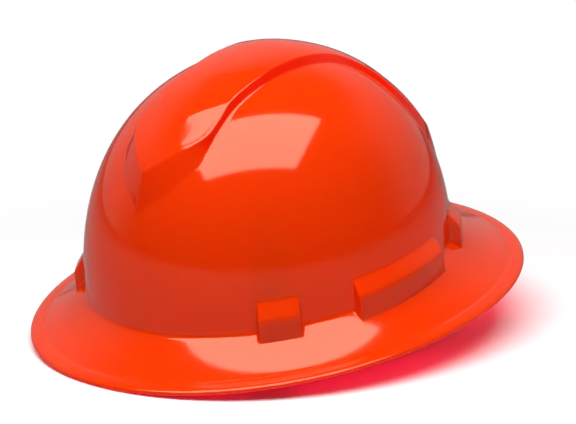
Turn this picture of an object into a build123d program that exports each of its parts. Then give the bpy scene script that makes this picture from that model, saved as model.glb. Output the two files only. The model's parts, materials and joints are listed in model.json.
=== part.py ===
from build123d import *
import os
from math import atan2, cos, degrees, hypot, pi, radians, sin

# Full brim hard hat with a four point ratchet suspension, in millimetres.
# Every piece is shaped in the hat's own frame: X to the wearer's left, -Y to the front,
# Z up, with the brim edge in the plane Z = 0. The last step pitches the whole hat
# nose down, as it rests on a table on its front lip and its nape housing.

# Brim
brim_half_width = 139.6
brim_front = 165.2
brim_rear = 165.5
brim_roundness = 2.04
brim_rear_widening_share = 0.023
brim_lip_height = 2.4
brim_lip_band = 8.5
brim_lip_rise = 1.9
brim_flare_sag = 1.4
brim_rim_flat = 1.0
brim_flare_shares = (0.0, 0.25, 0.5, 0.75, 1.0)

# Dome
dome_half_width = 105.6
dome_half_length = 119.9
dome_forward = 5.3
dome_base_height = 22.5
dome_base_lean = 3.3
dome_height = 129.0
dome_crown_shift = 10.2
dome_roundness = 2.05
front_fullness = 2.36
rear_fullness = 1.94
side_fullness = 2.25
shell_wall = 2.6
ring_stations = 20
dome_seam_share = 0.0
brim_seam_share = 0.275
belt_seam_share = 0.75
core_seam_share = 0.7
dome_level_shares = (-0.12, 0.0, 0.18, 0.36, 0.53, 0.68, 0.80, 0.89, 0.95, 0.985, 0.9985)

# Raised ridge over the crown, a vee at the front and a flare at the back.
# Its outline is given at a low and a high level, as shares of the dome's half width,
# half length and height, measured from the dome's middle and base.
ridge_lift = 3.6
ridge_wall_share = 1.4
ridge_spine_front_share = -0.4
ridge_spine_rear_share = 0.45
ridge_low_level_share = 0.42
ridge_high_level_share = 1.08
ridge_low_tip_share = -0.905
ridge_high_tip_share = -0.617
ridge_low_shares = (
    (0.345, -0.745), (0.340, -0.255), (0.358, 0.020), (0.385, 0.225),
    (0.455, 0.375), (0.560, 0.475), (0.625, 0.640), (0.520, 0.790), (0.260, 0.893), (0.0, 0.925),
)
ridge_high_shares = (
    (0.284, -0.502), (0.284, -0.255), (0.312, 0.020), (0.345, 0.225),
    (0.410, 0.350), (0.490, 0.430), (0.560, 0.565), (0.470, 0.740), (0.240, 0.850), (0.0, 0.880),
)

# Bosses at the foot of the dome: four that hold the suspension keys and two long slots
boss_knee_rise = 8.8
boss_top_rise = 17.8
boss_sink_inner = 1.0
boss_sink_outer = 6.5
front_boss_angle = -40.4
rear_boss_angle = 42.5
side_boss_angle = 1.7
key_boss_half_width = 13.0
side_boss_half_width = 39.4
front_boss_standoff = 5.6
rear_boss_standoff = 7.2
side_boss_standoff = 6.2
pocket_inner = 0.6
pocket_outer_wall = 1.8
pocket_half_width = 10.5
pocket_top_gap = 1.0
slot_thickness = 4.6
slot_half_length = 17.0
slot_outer_wall = 1.8

# Suspension keys
key_clearance = 0.3
key_half_width = 10.0
key_top_half_width = 13.2
key_foot_drop = 11.0
key_foot_height = 3.4
key_plate_inner = 8.5
key_plate_outer = 5.0
key_plate_rise = 20.0
channel_wall = 1.8
channel_lip = 1.6
channel_half_gap = 4.6
channel_mouth_half_gap = 2.8
channel_drop = 11.5
channel_rise = 7.5
strap_slot_height = 3.2
strap_slot_half_width = 10.6
strap_slot_rise = 14.0

# Hanger arms of the head band
hanger_head_half_width = 4.3
hanger_head_height = 6.0
hanger_head_thickness = 2.2
hanger_neck_half_width = 2.5
hanger_root_half_width = 7.0
hanger_thickness = 2.4
hanger_drop = 4.0
hanger_reach = 34.0
rear_hanger_reach = 9.0

# Head band and nape rails
pivot_y = 20.0
pivot_z = 4.0
band_inner_half_width = 79.0
band_front_length = 116.0
band_thickness = 1.6
band_lower_edge = ((-100.0, -5.0), (-62.0, -5.0), (-20.0, -8.0), (28.0, -8.0), (50.0, 8.0), (76.0, 13.0))
band_upper_edge = ((76.0, 26.0), (52.0, 24.0), (32.0, 17.0), (-10.0, 16.0), (-48.0, 25.0), (-100.0, 25.0))
rail_half_height = 8.3
left_rail_radius = 75.0
rail_thickness = 1.4
rail_gap = 0.4
rail_front_reach = 17.0
rail_rear_reach = 37.0
nape_tilt = 17.2
swing_pin_radius = 2.5
swing_pin_head_radius = 4.6
swing_pin_head_height = 1.6
swing_pin_clearance = 0.15
rail_travel = 12.0
side_gap = 0.4

# Ratchet housing at the nape
channel_clearance = 0.4
housing_half_angle = 24.0
housing_half_height = 17.5
housing_inner_wall = 2.2
housing_cover_wall = 2.4
housing_side_clearance = 0.5
housing_corner = 6.0
relief_half_angle = 11.0
relief_margin = 2.2
cover_boss_radius = 13.8
cover_boss_height = 3.8
screw_angle = 17.5
screw_radius = 1.3
screw_head_radius = 2.4
screw_head_height = 1.2
fit_clearance = 0.05

# Pinion, detent and knob
pinion_teeth = 10
pinion_pitch_radius = 5.0
tooth_addendum = 0.7
tooth_dedendum = 1.0
tooth_width = 1.1
tooth_tip_width = 0.6
pinion_stub_radius = 2.5
shaft_radius = 4.0
shaft_hole_clearance = 0.08
rack_teeth = 12
root_spread_share = 0.3
detent_ring_outer = 12.4
detent_ring_inner = 10.4
detent_ring_height = 2.0
detent_teeth = 24
detent_tooth_depth = 1.0
detent_gap = 0.3
pawl_count = 3
pawl_width = 2.2
pawl_hub_radius = 6.4
pawl_thickness = 1.4
knob_radius = 14.5
knob_gap = 0.5
knob_height = 11.0
knob_wall = 1.8
knob_hub_radius = 6.4
knob_lobes = 12
knob_lobe_radius = 2.6
knob_lobe_bite_share = 0.5
knob_edge_round = 1.2
knob_screw_radius = 1.5
knob_screw_head_radius = 3.2
knob_screw_head_height = 1.8
knob_screw_length = 12.0

# Soft pieces and webbing
sweatband_thickness = 3.0
sweatband_end_y = -22.0
sweatband_low = -7.0
sweatband_high = 19.0
soft_clearance = 0.3
nape_pad_thickness = 5.5
nape_pad_half_height = 14.5
nape_pad_half_angle = 25.0
strap_width = 20.0
strap_thickness = 1.2
strap_gap = 1.2
strap_stations = 12
strap_roundness = 2.2
strap_crown_clearance = 34.0
strap_end_rise = 11.5
strap_stand_rise = 22.0
strap_skew_gap = 2.5

# Cutting bodies run past what they cut by this much
overrun = 1.0
tolerance = 0.01

DOME_MIDDLE = -dome_forward


def signed_power(value, exponent):
    """Power of a signed number that keeps its sign."""
    size = abs(value) ** exponent
    return size if value >= 0 else -size


def closed_ring(points):
    """Smooth closed wire through points."""
    return Wire([Edge.make_spline([Vector(*p) for p in points], periodic=True)])


def station_angles(start_share):
    """Directions of the stations round a ring, from a start given as a share of a turn."""
    return [2 * pi * (index / ring_stations + start_share) for index in range(ring_stations)]


def base_rise(y):
    """Height of the dome's foot above its mean at a place along the hat."""
    return dome_base_lean * (y - DOME_MIDDLE) / dome_half_length


def dome_ring(level, inset):
    """Section of the dome at a share of its height, drawn in by inset."""
    rise = max(level, 0.0)
    top = dome_height - inset
    points = []
    for angle in station_angles(dome_seam_share):
        across = cos(angle)
        along = sin(angle)
        end_fullness = rear_fullness if along > 0 else front_fullness
        fullness = side_fullness * across ** 2 + end_fullness * along ** 2
        shrink = max(1 - rise ** fullness, 0.0) ** (1 / fullness)
        x = (dome_half_width - inset) * shrink * signed_power(across, 2 / dome_roundness)
        y = (dome_half_length - inset) * shrink * signed_power(along, 2 / dome_roundness)
        points.append((x, y + DOME_MIDDLE + dome_crown_shift * rise, dome_base_height + level * top))
    return closed_ring(points)


def dome_body(inset, lift):
    """Solid dome, drawn in by inset and raised by lift all over."""
    rings = [dome_ring(level, inset - lift) for level in dome_level_shares]
    return Solid.make_loft(rings)


def drawn_in(x, y, inset):
    """A point of the ridge outline, moved by inset towards the ridge's spine."""
    front = ridge_spine_front_share * dome_half_length + DOME_MIDDLE
    rear = ridge_spine_rear_share * dome_half_length + DOME_MIDDLE
    spine_y = min(max(y, front), rear)
    keep = 1 - inset / hypot(x, y - spine_y)
    return x * keep, spine_y + (y - spine_y) * keep


def ridge_wire(height, tip_share, side_shares, inset):
    """Outline of the ridge at one height: straight vee arms and smooth flanks."""
    shares = ((0.0, tip_share),) + side_shares
    places = [(x * dome_half_width, y * dome_half_length + DOME_MIDDLE) for x, y in shares]
    inner = [drawn_in(x, y, inset) for x, y in places]
    tip = Vector(0, inner[0][1], height)
    left = [Vector(x, y, height) for x, y in inner[1:]]
    right = [Vector(-p.X, p.Y, p.Z) for p in left]
    flank = Edge.make_spline(left + right[-2::-1])
    return Wire([Edge.make_line(tip, left[0]), flank, Edge.make_line(right[0], tip)])


def ridge_column(inset):
    """Upright column whose leaning walls bound the ridge."""
    low = dome_base_height + ridge_low_level_share * dome_height
    high = dome_base_height + ridge_high_level_share * dome_height
    low_wire = ridge_wire(low, ridge_low_tip_share, ridge_low_shares, inset)
    high_wire = ridge_wire(high, ridge_high_tip_share, ridge_high_shares, inset)
    return Solid.make_loft([low_wire, high_wire], ruled=True)


def crowned_dome(inset):
    """Dome with its raised ridge."""
    return dome_body(inset, 0.0) + (dome_body(inset, ridge_lift) & ridge_column(ridge_wall_share * inset))


def brim_ring(inset, height):
    """Ring parallel to the brim edge."""
    points = []
    for angle in station_angles(brim_seam_share):
        across = cos(angle)
        along = sin(angle)
        reach = (brim_rear if along > 0 else brim_front) - inset
        x = (brim_half_width - inset) * signed_power(across, 2 / brim_roundness)
        x *= 1 + brim_rear_widening_share * along
        y = reach * signed_power(along, 2 / brim_roundness)
        points.append((x, y, height))
    return closed_ring(points)


def foot_ring(outset, rise, seam_share):
    """Ring parallel to the dome's foot, in the foot's leaning plane."""
    points = []
    for angle in station_angles(seam_share):
        x = (dome_half_width + outset) * signed_power(cos(angle), 2 / dome_roundness)
        y = (dome_half_length + outset) * signed_power(sin(angle), 2 / dome_roundness) + DOME_MIDDLE
        points.append((x, y, dome_base_height + base_rise(y) + rise))
    return closed_ring(points)


def flare_ring(share, drop):
    """Ring a share of the way from the lip band to the dome's foot, sagging a little."""
    points = []
    sag = 4 * brim_flare_sag * share * (1 - share)
    lip_height = brim_lip_height / 2 + brim_lip_rise
    for angle in station_angles(brim_seam_share):
        across = cos(angle)
        along = sin(angle)
        outer_x = (brim_half_width - brim_lip_band) * signed_power(across, 2 / brim_roundness)
        outer_x *= 1 + brim_rear_widening_share * along
        outer_reach = (brim_rear if along > 0 else brim_front) - brim_lip_band
        outer_y = outer_reach * signed_power(along, 2 / brim_roundness)
        inner_x = dome_half_width * signed_power(across, 2 / dome_roundness)
        inner_y = dome_half_length * signed_power(along, 2 / dome_roundness) + DOME_MIDDLE
        x = outer_x + (inner_x - outer_x) * share
        y = outer_y + (inner_y - outer_y) * share
        inner_height = dome_base_height + base_rise(inner_y)
        z = lip_height + (inner_height - lip_height) * share - sag - drop
        points.append((x, y, z))
    return closed_ring(points)


def brim_body(drop):
    """Solid under the brim's upper side, let down by drop."""
    rings = [flare_ring(share, drop) for share in brim_flare_shares]
    rings.append(foot_ring(-shell_wall / 2 - drop, shell_wall - drop, brim_seam_share))
    return Solid.make_loft(rings)


def lip_body():
    """Flat-sided lip round the brim edge, with its slightly raised band."""
    half = brim_lip_height / 2
    edge = Solid.extrude(Face(brim_ring(0.0, -half)), Vector(0, 0, brim_lip_height))
    band = Solid.make_loft([brim_ring(0.0, half), brim_ring(brim_lip_band, half + brim_lip_rise)], ruled=True)
    return edge + band


def lip_hollow():
    """Space under the lip band."""
    half = brim_lip_height / 2
    inner = brim_ring(brim_lip_band, half + brim_lip_rise - shell_wall)
    mouth = brim_ring(brim_rim_flat, -half)
    below = Solid.extrude(Face(mouth), Vector(0, 0, -overrun))
    return Solid.make_loft([mouth, inner], ruled=True) + below


def foot_frame(angle):
    """Upright frame at the dome's foot: X outward, Y along the foot, Z up from the foot."""
    turn = radians(angle)
    x = dome_half_width * cos(turn)
    y = dome_half_length * sin(turn) + DOME_MIDDLE
    outward = Vector(cos(turn) / dome_half_width, sin(turn) / dome_half_length, 0)
    height = dome_base_height + base_rise(y)
    return Plane(origin=(x, y, height), x_dir=outward.normalized(), z_dir=(0, 0, 1))


def local_box(frame, x_range, y_range, z_range):
    """Box given by its ranges in a frame."""
    size = [span[1] - span[0] for span in (x_range, y_range, z_range)]
    middle = [(span[1] + span[0]) / 2 for span in (x_range, y_range, z_range)]
    return frame * (Pos(*middle) * Box(*size))


def wall_core(low, high):
    """Everything within the middle of the dome's wall, between two rises over the foot."""
    middle = -shell_wall / 2
    rings = [foot_ring(middle, rise, core_seam_share) for rise in (low, high)]
    return Solid.make_loft(rings, ruled=True)


def boss_belt(standoff):
    """Belt round the dome's foot with an upright face and a sloping top."""
    rings = [
        foot_ring(-shell_wall, -boss_sink_inner, belt_seam_share),
        foot_ring(standoff, -boss_sink_outer, belt_seam_share),
        foot_ring(standoff, boss_knee_rise, belt_seam_share),
        foot_ring(-shell_wall, boss_top_rise + shell_wall, belt_seam_share),
    ]
    belt = Solid.make_loft(rings, ruled=True)
    return belt - wall_core(-boss_sink_outer, boss_top_rise + 2 * shell_wall)


def boss(angle, half_width, standoff):
    """One boss: the stretch of its belt at one place round the dome."""
    reach = (-2 * standoff, 2 * standoff)
    height = (-2 * boss_sink_outer, 2 * boss_top_rise)
    gate = local_box(foot_frame(angle), reach, (-half_width, half_width), height)
    return boss_belt(standoff) & gate


def pocket(angle, standoff):
    """Pocket for a suspension key, open from below."""
    reach = (pocket_inner, standoff - pocket_outer_wall)
    width = (-pocket_half_width, pocket_half_width)
    height = (-dome_base_height, boss_knee_rise - pocket_top_gap)
    return local_box(foot_frame(angle), reach, width, height)


def slot_frame():
    """Frame of a side slot, square to the hat."""
    frame = foot_frame(side_boss_angle)
    return Plane(origin=frame.origin, x_dir=(1, 0, 0), z_dir=(0, 0, 1))


def accessory_slot():
    """Slot in a long side boss, open from below."""
    outer = side_boss_standoff - slot_outer_wall - side_bow()
    length = (-slot_half_length, slot_half_length)
    height = (-dome_base_height, boss_knee_rise - pocket_top_gap)
    return local_box(slot_frame(), (outer - slot_thickness, outer), length, height)


def side_bow():
    """How far the foot curves back over the half length of a side slot."""
    radius = dome_half_length ** 2 / dome_half_width
    return slot_half_length ** 2 / (2 * radius)


def both_sides(solid):
    """A solid and its mirror image across the hat."""
    return [solid, mirror(solid, about=Plane.YZ)]


def make_shell():
    """Outer shell: dome, ridge, brim, lip and hollow bosses in one moulding."""
    outer = crowned_dome(0.0) + brim_body(0.0) + lip_body()
    hollow = crowned_dome(shell_wall) + brim_body(shell_wall) + lip_hollow()
    outer -= hollow
    for angle, half_width, standoff in (
        (front_boss_angle, key_boss_half_width, front_boss_standoff),
        (rear_boss_angle, key_boss_half_width, rear_boss_standoff),
        (side_boss_angle, side_boss_half_width, side_boss_standoff),
    ):
        outer += both_sides(boss(angle, half_width, standoff))
    outer -= both_sides(pocket(front_boss_angle, front_boss_standoff))
    outer -= both_sides(pocket(rear_boss_angle, rear_boss_standoff))
    outer -= both_sides(accessory_slot())
    return outer


def make_key(angle, standoff):
    """Suspension key: a blade for the pocket, a foot under the rim and a plate inside."""
    frame = foot_frame(angle)
    blade_reach = (pocket_inner + key_clearance, standoff - pocket_outer_wall - key_clearance)
    plate_reach = (-key_plate_inner, -key_plate_outer)
    width = (-key_half_width, key_half_width)
    wide = (-key_top_half_width, key_top_half_width)
    blade_top = boss_knee_rise - pocket_top_gap - key_clearance
    foot_top = -key_foot_drop + key_foot_height
    blade = local_box(frame, blade_reach, width, (-key_foot_drop, blade_top))
    foot = local_box(frame, (-key_plate_inner, blade_reach[1]), width, (-key_foot_drop, foot_top))
    plate = local_box(frame, plate_reach, width, (-key_foot_drop, key_plate_rise))
    head = local_box(frame, plate_reach, wide, (strap_slot_rise - strap_slot_height, key_plate_rise))
    key = blade + foot + plate + head
    channel_depth = channel_lip + 2 * key_clearance + hanger_head_thickness
    outer_half = channel_half_gap + channel_wall
    span = (-channel_drop, channel_rise)
    for side in (-1, 1):
        wall = sorted((side * channel_half_gap, side * outer_half))
        lip = sorted((side * channel_mouth_half_gap, side * outer_half))
        deep = -key_plate_inner - channel_depth
        key += local_box(frame, (deep, -key_plate_inner), wall, span)
        key += local_box(frame, (deep, deep + channel_lip), lip, span)
    slot_half = strap_slot_height / 2
    slot_width = (-strap_slot_half_width, strap_slot_half_width)
    slot_span = (strap_slot_rise - slot_half, strap_slot_rise + slot_half)
    return key - local_box(frame, (-key_plate_inner - overrun, -key_plate_outer + overrun), slot_width, slot_span)


def hanger_arm(angle, reach):
    """Arm of the head band that ends in a tee head, held in a key's channel."""
    frame = foot_frame(angle)
    head_outer = -key_plate_inner - key_clearance
    head_inner = head_outer - hanger_head_thickness
    half_height = hanger_head_height / 2
    half_thickness = hanger_thickness / 2
    head_width = (-hanger_head_half_width, hanger_head_half_width)
    neck_width = (-hanger_neck_half_width, hanger_neck_half_width)
    neck_end = head_inner - channel_lip - 2 * key_clearance
    level = (-hanger_drop - half_thickness, -hanger_drop + half_thickness)
    tall = (-hanger_drop - half_height, -hanger_drop + half_height)
    arm = local_box(frame, (head_inner, head_outer), head_width, tall)
    arm += local_box(frame, (neck_end, head_inner), neck_width, level)
    outline = Polyline(
        (neck_end, -hanger_neck_half_width), (neck_end, hanger_neck_half_width),
        (-reach, hanger_root_half_width), (-reach, -hanger_root_half_width), close=True,
    )
    blade = Solid.extrude(Face(Wire(outline.edges())), Vector(0, 0, hanger_thickness))
    return arm + frame * (Pos(0, 0, level[0]) * blade)


def plan_column(offset, low, high):
    """Upright column with the head band's plan: half an ellipse in front, half a circle behind."""
    radius = band_inner_half_width + offset
    length = band_front_length + offset
    plane = Plane(origin=(0, pivot_y, low))
    front = Edge.make_ellipse(radius, length, plane, 180, 360)
    rear = Edge.make_circle(radius, plane, 0, 180)
    return Solid.extrude(Face(Wire([front, rear])), Vector(0, 0, high - low))


def band_profile():
    """Side view of the head band, as a block across the hat."""
    reach = 2 * band_inner_half_width
    lower = [Vector(-reach / 2, y, z) for y, z in band_lower_edge]
    upper = [Vector(-reach / 2, y, z) for y, z in band_upper_edge]
    front = Edge.make_line(upper[-1], lower[0])
    rear = Edge.make_line(lower[-1], upper[0])
    outline = Wire([Edge.make_spline(lower), rear, Edge.make_spline(upper), front])
    return Solid.extrude(Face(outline), Vector(2 * reach, 0, 0)).moved(Pos(-reach / 2, 0, 0))


def side_cylinder(radius, x_from, x_to):
    """Cylinder on the swing axis of the nape assembly."""
    plane = Plane(origin=(x_from, pivot_y, pivot_z), z_dir=(1, 0, 0))
    return Solid.make_cylinder(radius, x_to - x_from, plane)


def make_front_band():
    """U shaped head band with four hanger arms and two pin holes."""
    high = dome_base_height + boss_top_rise
    outer = plan_column(band_thickness, -high, high)
    inner = plan_column(0.0, -2 * high, 2 * high)
    band = (outer & band_profile()) - inner
    for angle, reach in ((front_boss_angle, hanger_reach), (rear_boss_angle, rear_hanger_reach)):
        for arm in both_sides(hanger_arm(angle, key_plate_inner + reach)):
            band += arm - inner
    reach = 2 * band_inner_half_width
    return band - side_cylinder(swing_pin_radius + swing_pin_clearance, -reach, reach)


def make_sweatband():
    """Soft brow band, plain and closed, behind the front of the head band."""
    outer = plan_column(-soft_clearance, sweatband_low, sweatband_high)
    inner = plan_column(-soft_clearance - sweatband_thickness, 2 * sweatband_low, 2 * sweatband_high)
    reach = 2 * band_front_length
    gate = Pos(0, sweatband_end_y - reach / 2, 0) * Box(reach, reach, reach)
    return (outer - inner) & gate


def make_swing_pin(rail_radius):
    """Snap rivet that joins one nape rail to the head band, on the left."""
    inner_face = rail_radius - side_gap
    outer_face = band_inner_half_width + band_thickness + side_gap
    pin = side_cylinder(swing_pin_radius, inner_face - swing_pin_head_height, outer_face + swing_pin_head_height)
    pin += side_cylinder(swing_pin_head_radius, inner_face - swing_pin_head_height, inner_face)
    pin += side_cylinder(swing_pin_head_radius, outer_face, outer_face + swing_pin_head_height)
    return pin


def nape_place():
    """Place of the nape assembly: hung from the swing axis, let down at the back."""
    return Pos(0, pivot_y, pivot_z) * Rot(-nape_tilt, 0, 0)


def arc_strip(radius, thickness, z_range, angle_range):
    """Curved strip about the nape's own upright axis, with angles from the left side."""
    low, high = z_range
    start, end = angle_range
    corners = [(radius, low), (radius + thickness, low), (radius + thickness, high), (radius, high)]
    outline = Polyline(*[(x, 0, z) for x, z in corners], close=True)
    strip = Solid.revolve(Face(Wire(outline.edges())), end - start, Axis.Z)
    return Rot(0, 0, start) * strip


def radial_plane(angle, radius):
    """Plane square to a radius of the nape: X along the arc, Y up, Z outward."""
    turn = radians(angle)
    outward = (cos(turn), sin(turn), 0)
    return Plane(
        origin=(radius * cos(turn), radius * sin(turn), 0), x_dir=(-sin(turn), cos(turn), 0), z_dir=outward
    )


def arc_angle(length, radius):
    """Angle of an arc of a length at a radius."""
    return degrees(length / radius)


def rack_tooth(angle, radius, edge_sign):
    """One rack tooth, pointing at the pinion from the window's edge."""
    root = pinion_pitch_radius + tooth_dedendum
    tip = pinion_pitch_radius - tooth_addendum
    foot = root + tooth_dedendum / 2
    root_half = tooth_width - tooth_tip_width / 2
    tip_half = tooth_tip_width / 2
    outline = Polyline(
        (-root_half, edge_sign * foot), (root_half, edge_sign * foot),
        (tip_half, edge_sign * tip), (-tip_half, edge_sign * tip), close=True,
    )
    plane = radial_plane(angle, radius)
    return plane * Solid.extrude(Face(Wire(outline.edges())), Vector(0, 0, rail_thickness))


def make_rail(radius, edge_sign):
    """Left-hand nape rail: a curved strap with a pin slot in front and a toothed window behind."""
    height = (-rail_half_height, rail_half_height)
    ends = (-arc_angle(rail_front_reach, radius), 90 + arc_angle(rail_rear_reach, radius))
    rail = arc_strip(radius, rail_thickness, height, ends)
    pin_half = swing_pin_radius + swing_pin_clearance
    slot_angle = arc_angle(rail_travel + swing_pin_radius + side_gap, radius)
    cut_radius = radius - overrun
    cut_thickness = rail_thickness + 2 * overrun
    rail -= arc_strip(cut_radius, cut_thickness, (-pin_half, pin_half), (-slot_angle, slot_angle))
    root = pinion_pitch_radius + tooth_dedendum
    window_half = rail_travel + root + side_gap
    window_angle = arc_angle(window_half, radius)
    rail -= arc_strip(cut_radius, cut_thickness, (-root, root), (90 - window_angle, 90 + window_angle))
    pitch = degrees(2 * pi * pinion_pitch_radius / pinion_teeth / (radius + rail_thickness / 2))
    for index in range(rack_teeth):
        angle = 90 + (index - (rack_teeth - 1) / 2) * pitch
        rail += rack_tooth(angle, radius, edge_sign)
    return rail


def right_rail_radius():
    """Inner radius of the right rail, which runs outside the left one."""
    return left_rail_radius + rail_thickness + rail_gap


def channel_inner():
    """Inner radius of the channel that both rails run in."""
    return left_rail_radius - channel_clearance


def channel_outer():
    """Outer radius of the channel that both rails run in."""
    return right_rail_radius() + rail_thickness + channel_clearance


def rounded_corners(strip, thickness):
    """Strip with its four radial edges rounded."""
    edges = [
        edge for edge in strip.edges()
        if edge.geom_type == GeomType.LINE and abs(edge.length - thickness) < tolerance
    ]
    return fillet(edges, housing_corner)


def screw_places():
    """Directions and heights of the four housing screws."""
    height = (rail_half_height + housing_half_height) / 2
    return [(90 + side * screw_angle, sign * height) for side in (-1, 1) for sign in (-1, 1)]


def radial_cylinder(angle, height, radius, r_from, r_to):
    """Cylinder along a radius of the nape."""
    plane = radial_plane(angle, r_from)
    return Solid.make_cylinder(radius, r_to - r_from, plane).moved(Pos(0, 0, height))


def make_housing_plate():
    """Inner plate of the ratchet housing, with four countersunk holes and the pinion's bearing."""
    outer = channel_inner()
    inner = outer - housing_inner_wall
    height = (-housing_half_height, housing_half_height)
    angles = (90 - housing_half_angle, 90 + housing_half_angle)
    plate = rounded_corners(arc_strip(inner, housing_inner_wall, height, angles), housing_inner_wall)
    for angle, place in screw_places():
        plate -= radial_cylinder(angle, place, screw_radius + fit_clearance, inner - overrun, outer + overrun)
        recess = inner + screw_head_height + fit_clearance
        plate -= radial_cylinder(angle, place, screw_head_radius + fit_clearance, inner - overrun, recess)
    bearing = pinion_stub_radius + shaft_hole_clearance
    return plate - radial_cylinder(90, 0, bearing, inner - overrun, outer + overrun)


def cover_face():
    """Radius of the flat face under the detent ring."""
    return channel_outer() + housing_cover_wall / 2


def make_housing_cover():
    """Outer cover of the ratchet housing, with the rail channel, screw posts and the knob's boss."""
    inner = channel_inner()
    outer = channel_outer() + housing_cover_wall
    height = (-housing_half_height, housing_half_height)
    angles = (90 - housing_half_angle, 90 + housing_half_angle)
    cover = rounded_corners(arc_strip(inner, outer - inner, height, angles), outer - inner)
    cover += radial_cylinder(90, 0, cover_boss_radius, channel_outer(), cover_top())
    half_channel = rail_half_height + housing_side_clearance
    run = (90 - 2 * housing_half_angle, 90 + 2 * housing_half_angle)
    depth = channel_outer() - inner + overrun
    cover -= arc_strip(inner - overrun, depth, (-half_channel, half_channel), run)
    relief_run = (90 - relief_half_angle, 90 + relief_half_angle)
    for sign in (-1, 1):
        span = sorted((sign * (half_channel + relief_margin), sign * (housing_half_height - relief_margin)))
        cover -= arc_strip(inner - overrun, depth, span, relief_run)
    for angle, place in screw_places():
        cover -= radial_cylinder(angle, place, screw_radius + fit_clearance, inner - overrun, channel_outer())
    cover -= radial_cylinder(90, 0, detent_ring_outer + fit_clearance, cover_face(), cover_top() + overrun)
    return cover - radial_cylinder(90, 0, shaft_radius + shaft_hole_clearance, inner, cover_top())


def cover_top():
    """Radius of the boss's outer face on the cover."""
    return channel_outer() + cover_boss_height


def make_housing_screws():
    """Four screws that hold the plate to the cover, from inside."""
    face = channel_inner() - housing_inner_wall
    screws = []
    for angle, place in screw_places():
        head = radial_cylinder(angle, place, screw_head_radius, face, face + screw_head_height)
        shank = radial_cylinder(angle, place, screw_radius, face, channel_outer() - fit_clearance)
        screws.append(head + shank)
    return Compound(screws)


def gear_outline():
    """Pinion outline with straight-sided teeth, one of them upright."""
    tip = pinion_pitch_radius + tooth_addendum
    root = pinion_pitch_radius - tooth_dedendum
    points = []
    for index in range(pinion_teeth):
        middle = pi / 2 + 2 * pi * index / pinion_teeth
        tip_half = tooth_tip_width / 2 / tip
        root_half = tooth_width * (1 + root_spread_share) / 2 / root
        for radius, offset in ((root, -root_half), (tip, -tip_half), (tip, tip_half), (root, root_half)):
            points.append((radius * cos(middle + offset), radius * sin(middle + offset)))
    return Face(Wire(Polyline(*points, close=True).edges()))


def shaft_end():
    """Radius at which the pinion's shaft ends inside the knob."""
    return cover_top() + knob_gap + knob_height - knob_wall - knob_screw_head_height


def make_pinion():
    """Pinion with its inner stub, its shaft to the knob and the screw's bore."""
    low = channel_inner() + channel_clearance / 2
    high = channel_outer() - channel_clearance / 2
    teeth = radial_plane(90, low) * Solid.extrude(gear_outline(), Vector(0, 0, high - low))
    pinion = teeth + radial_cylinder(90, 0, pinion_stub_radius, channel_inner() - housing_inner_wall, low)
    pinion += radial_cylinder(90, 0, shaft_radius, high, shaft_end())
    bore = knob_screw_radius + fit_clearance
    return pinion - radial_cylinder(90, 0, bore, shaft_end() - knob_screw_length, shaft_end())


def make_detent_ring():
    """Ring with inner teeth, let into the cover's boss."""
    points = []
    for index in range(detent_teeth):
        root = 2 * pi * index / detent_teeth
        tip = root + pi / detent_teeth
        points.append((detent_ring_inner * cos(root), detent_ring_inner * sin(root)))
        depth = detent_ring_inner - detent_tooth_depth
        points.append((depth * cos(tip), depth * sin(tip)))
    hole = Face(Wire(Polyline(*points, close=True).edges()))
    plane = radial_plane(90, cover_face())
    ring = radial_cylinder(90, 0, detent_ring_outer, cover_face(), cover_face() + detent_ring_height)
    return ring - plane * Solid.extrude(hole, Vector(0, 0, detent_ring_height))


def make_detent_spring():
    """Sprung spider on the pinion's shaft, whose three pawls click past the ring's teeth."""
    low = cover_face() + detent_gap
    spider = radial_cylinder(90, 0, pawl_hub_radius, low, low + pawl_thickness)
    reach = detent_ring_inner - detent_tooth_depth - detent_gap
    pawl = Pos(reach / 2, 0, pawl_thickness / 2) * Box(reach, pawl_width, pawl_thickness)
    for index in range(pawl_count):
        spider += radial_plane(90, low) * (Rot(0, 0, 360 * index / pawl_count) * pawl)
    bore = shaft_radius + fit_clearance
    return spider - radial_cylinder(90, 0, bore, low - overrun, low + pawl_thickness + overrun)


def make_knob():
    """Hollow thumb knob with scalloped grips and a hub bored for the shaft and the screw."""
    low = cover_top() + knob_gap
    high = low + knob_height
    knob = radial_cylinder(90, 0, knob_radius, low, high)
    rims = [edge for edge in knob.edges() if abs(edge.center().Y - high) < tolerance]
    knob = fillet(rims, knob_edge_round)
    knob -= radial_cylinder(90, 0, knob_radius - knob_wall - knob_lobe_radius / 2, low, high - knob_wall)
    knob += radial_cylinder(90, 0, knob_hub_radius, low, high - knob_wall)
    centre = knob_radius + knob_lobe_radius * knob_lobe_bite_share
    for index in range(knob_lobes):
        turn = 2 * pi * (index + 1 / 2) / knob_lobes
        groove = Solid.make_cylinder(knob_lobe_radius, knob_height + 2 * overrun)
        groove = Pos(centre * cos(turn), centre * sin(turn), -overrun) * groove
        knob -= radial_plane(90, low) * groove
    knob -= radial_cylinder(90, 0, shaft_radius + fit_clearance, low, shaft_end() + fit_clearance)
    knob -= radial_cylinder(90, 0, knob_screw_radius + fit_clearance, low, high)
    recess = high - knob_screw_head_height
    return knob - radial_cylinder(90, 0, knob_screw_head_radius + fit_clearance, recess, high)


def make_knob_screw():
    """Screw that draws the knob onto the pinion's shaft."""
    high = cover_top() + knob_gap + knob_height
    seat = high - knob_screw_head_height
    tip = shaft_end() - knob_screw_length + overrun
    screw = radial_cylinder(90, 0, knob_screw_head_radius, seat, high)
    return screw + radial_cylinder(90, 0, knob_screw_radius, tip, seat)


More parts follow.
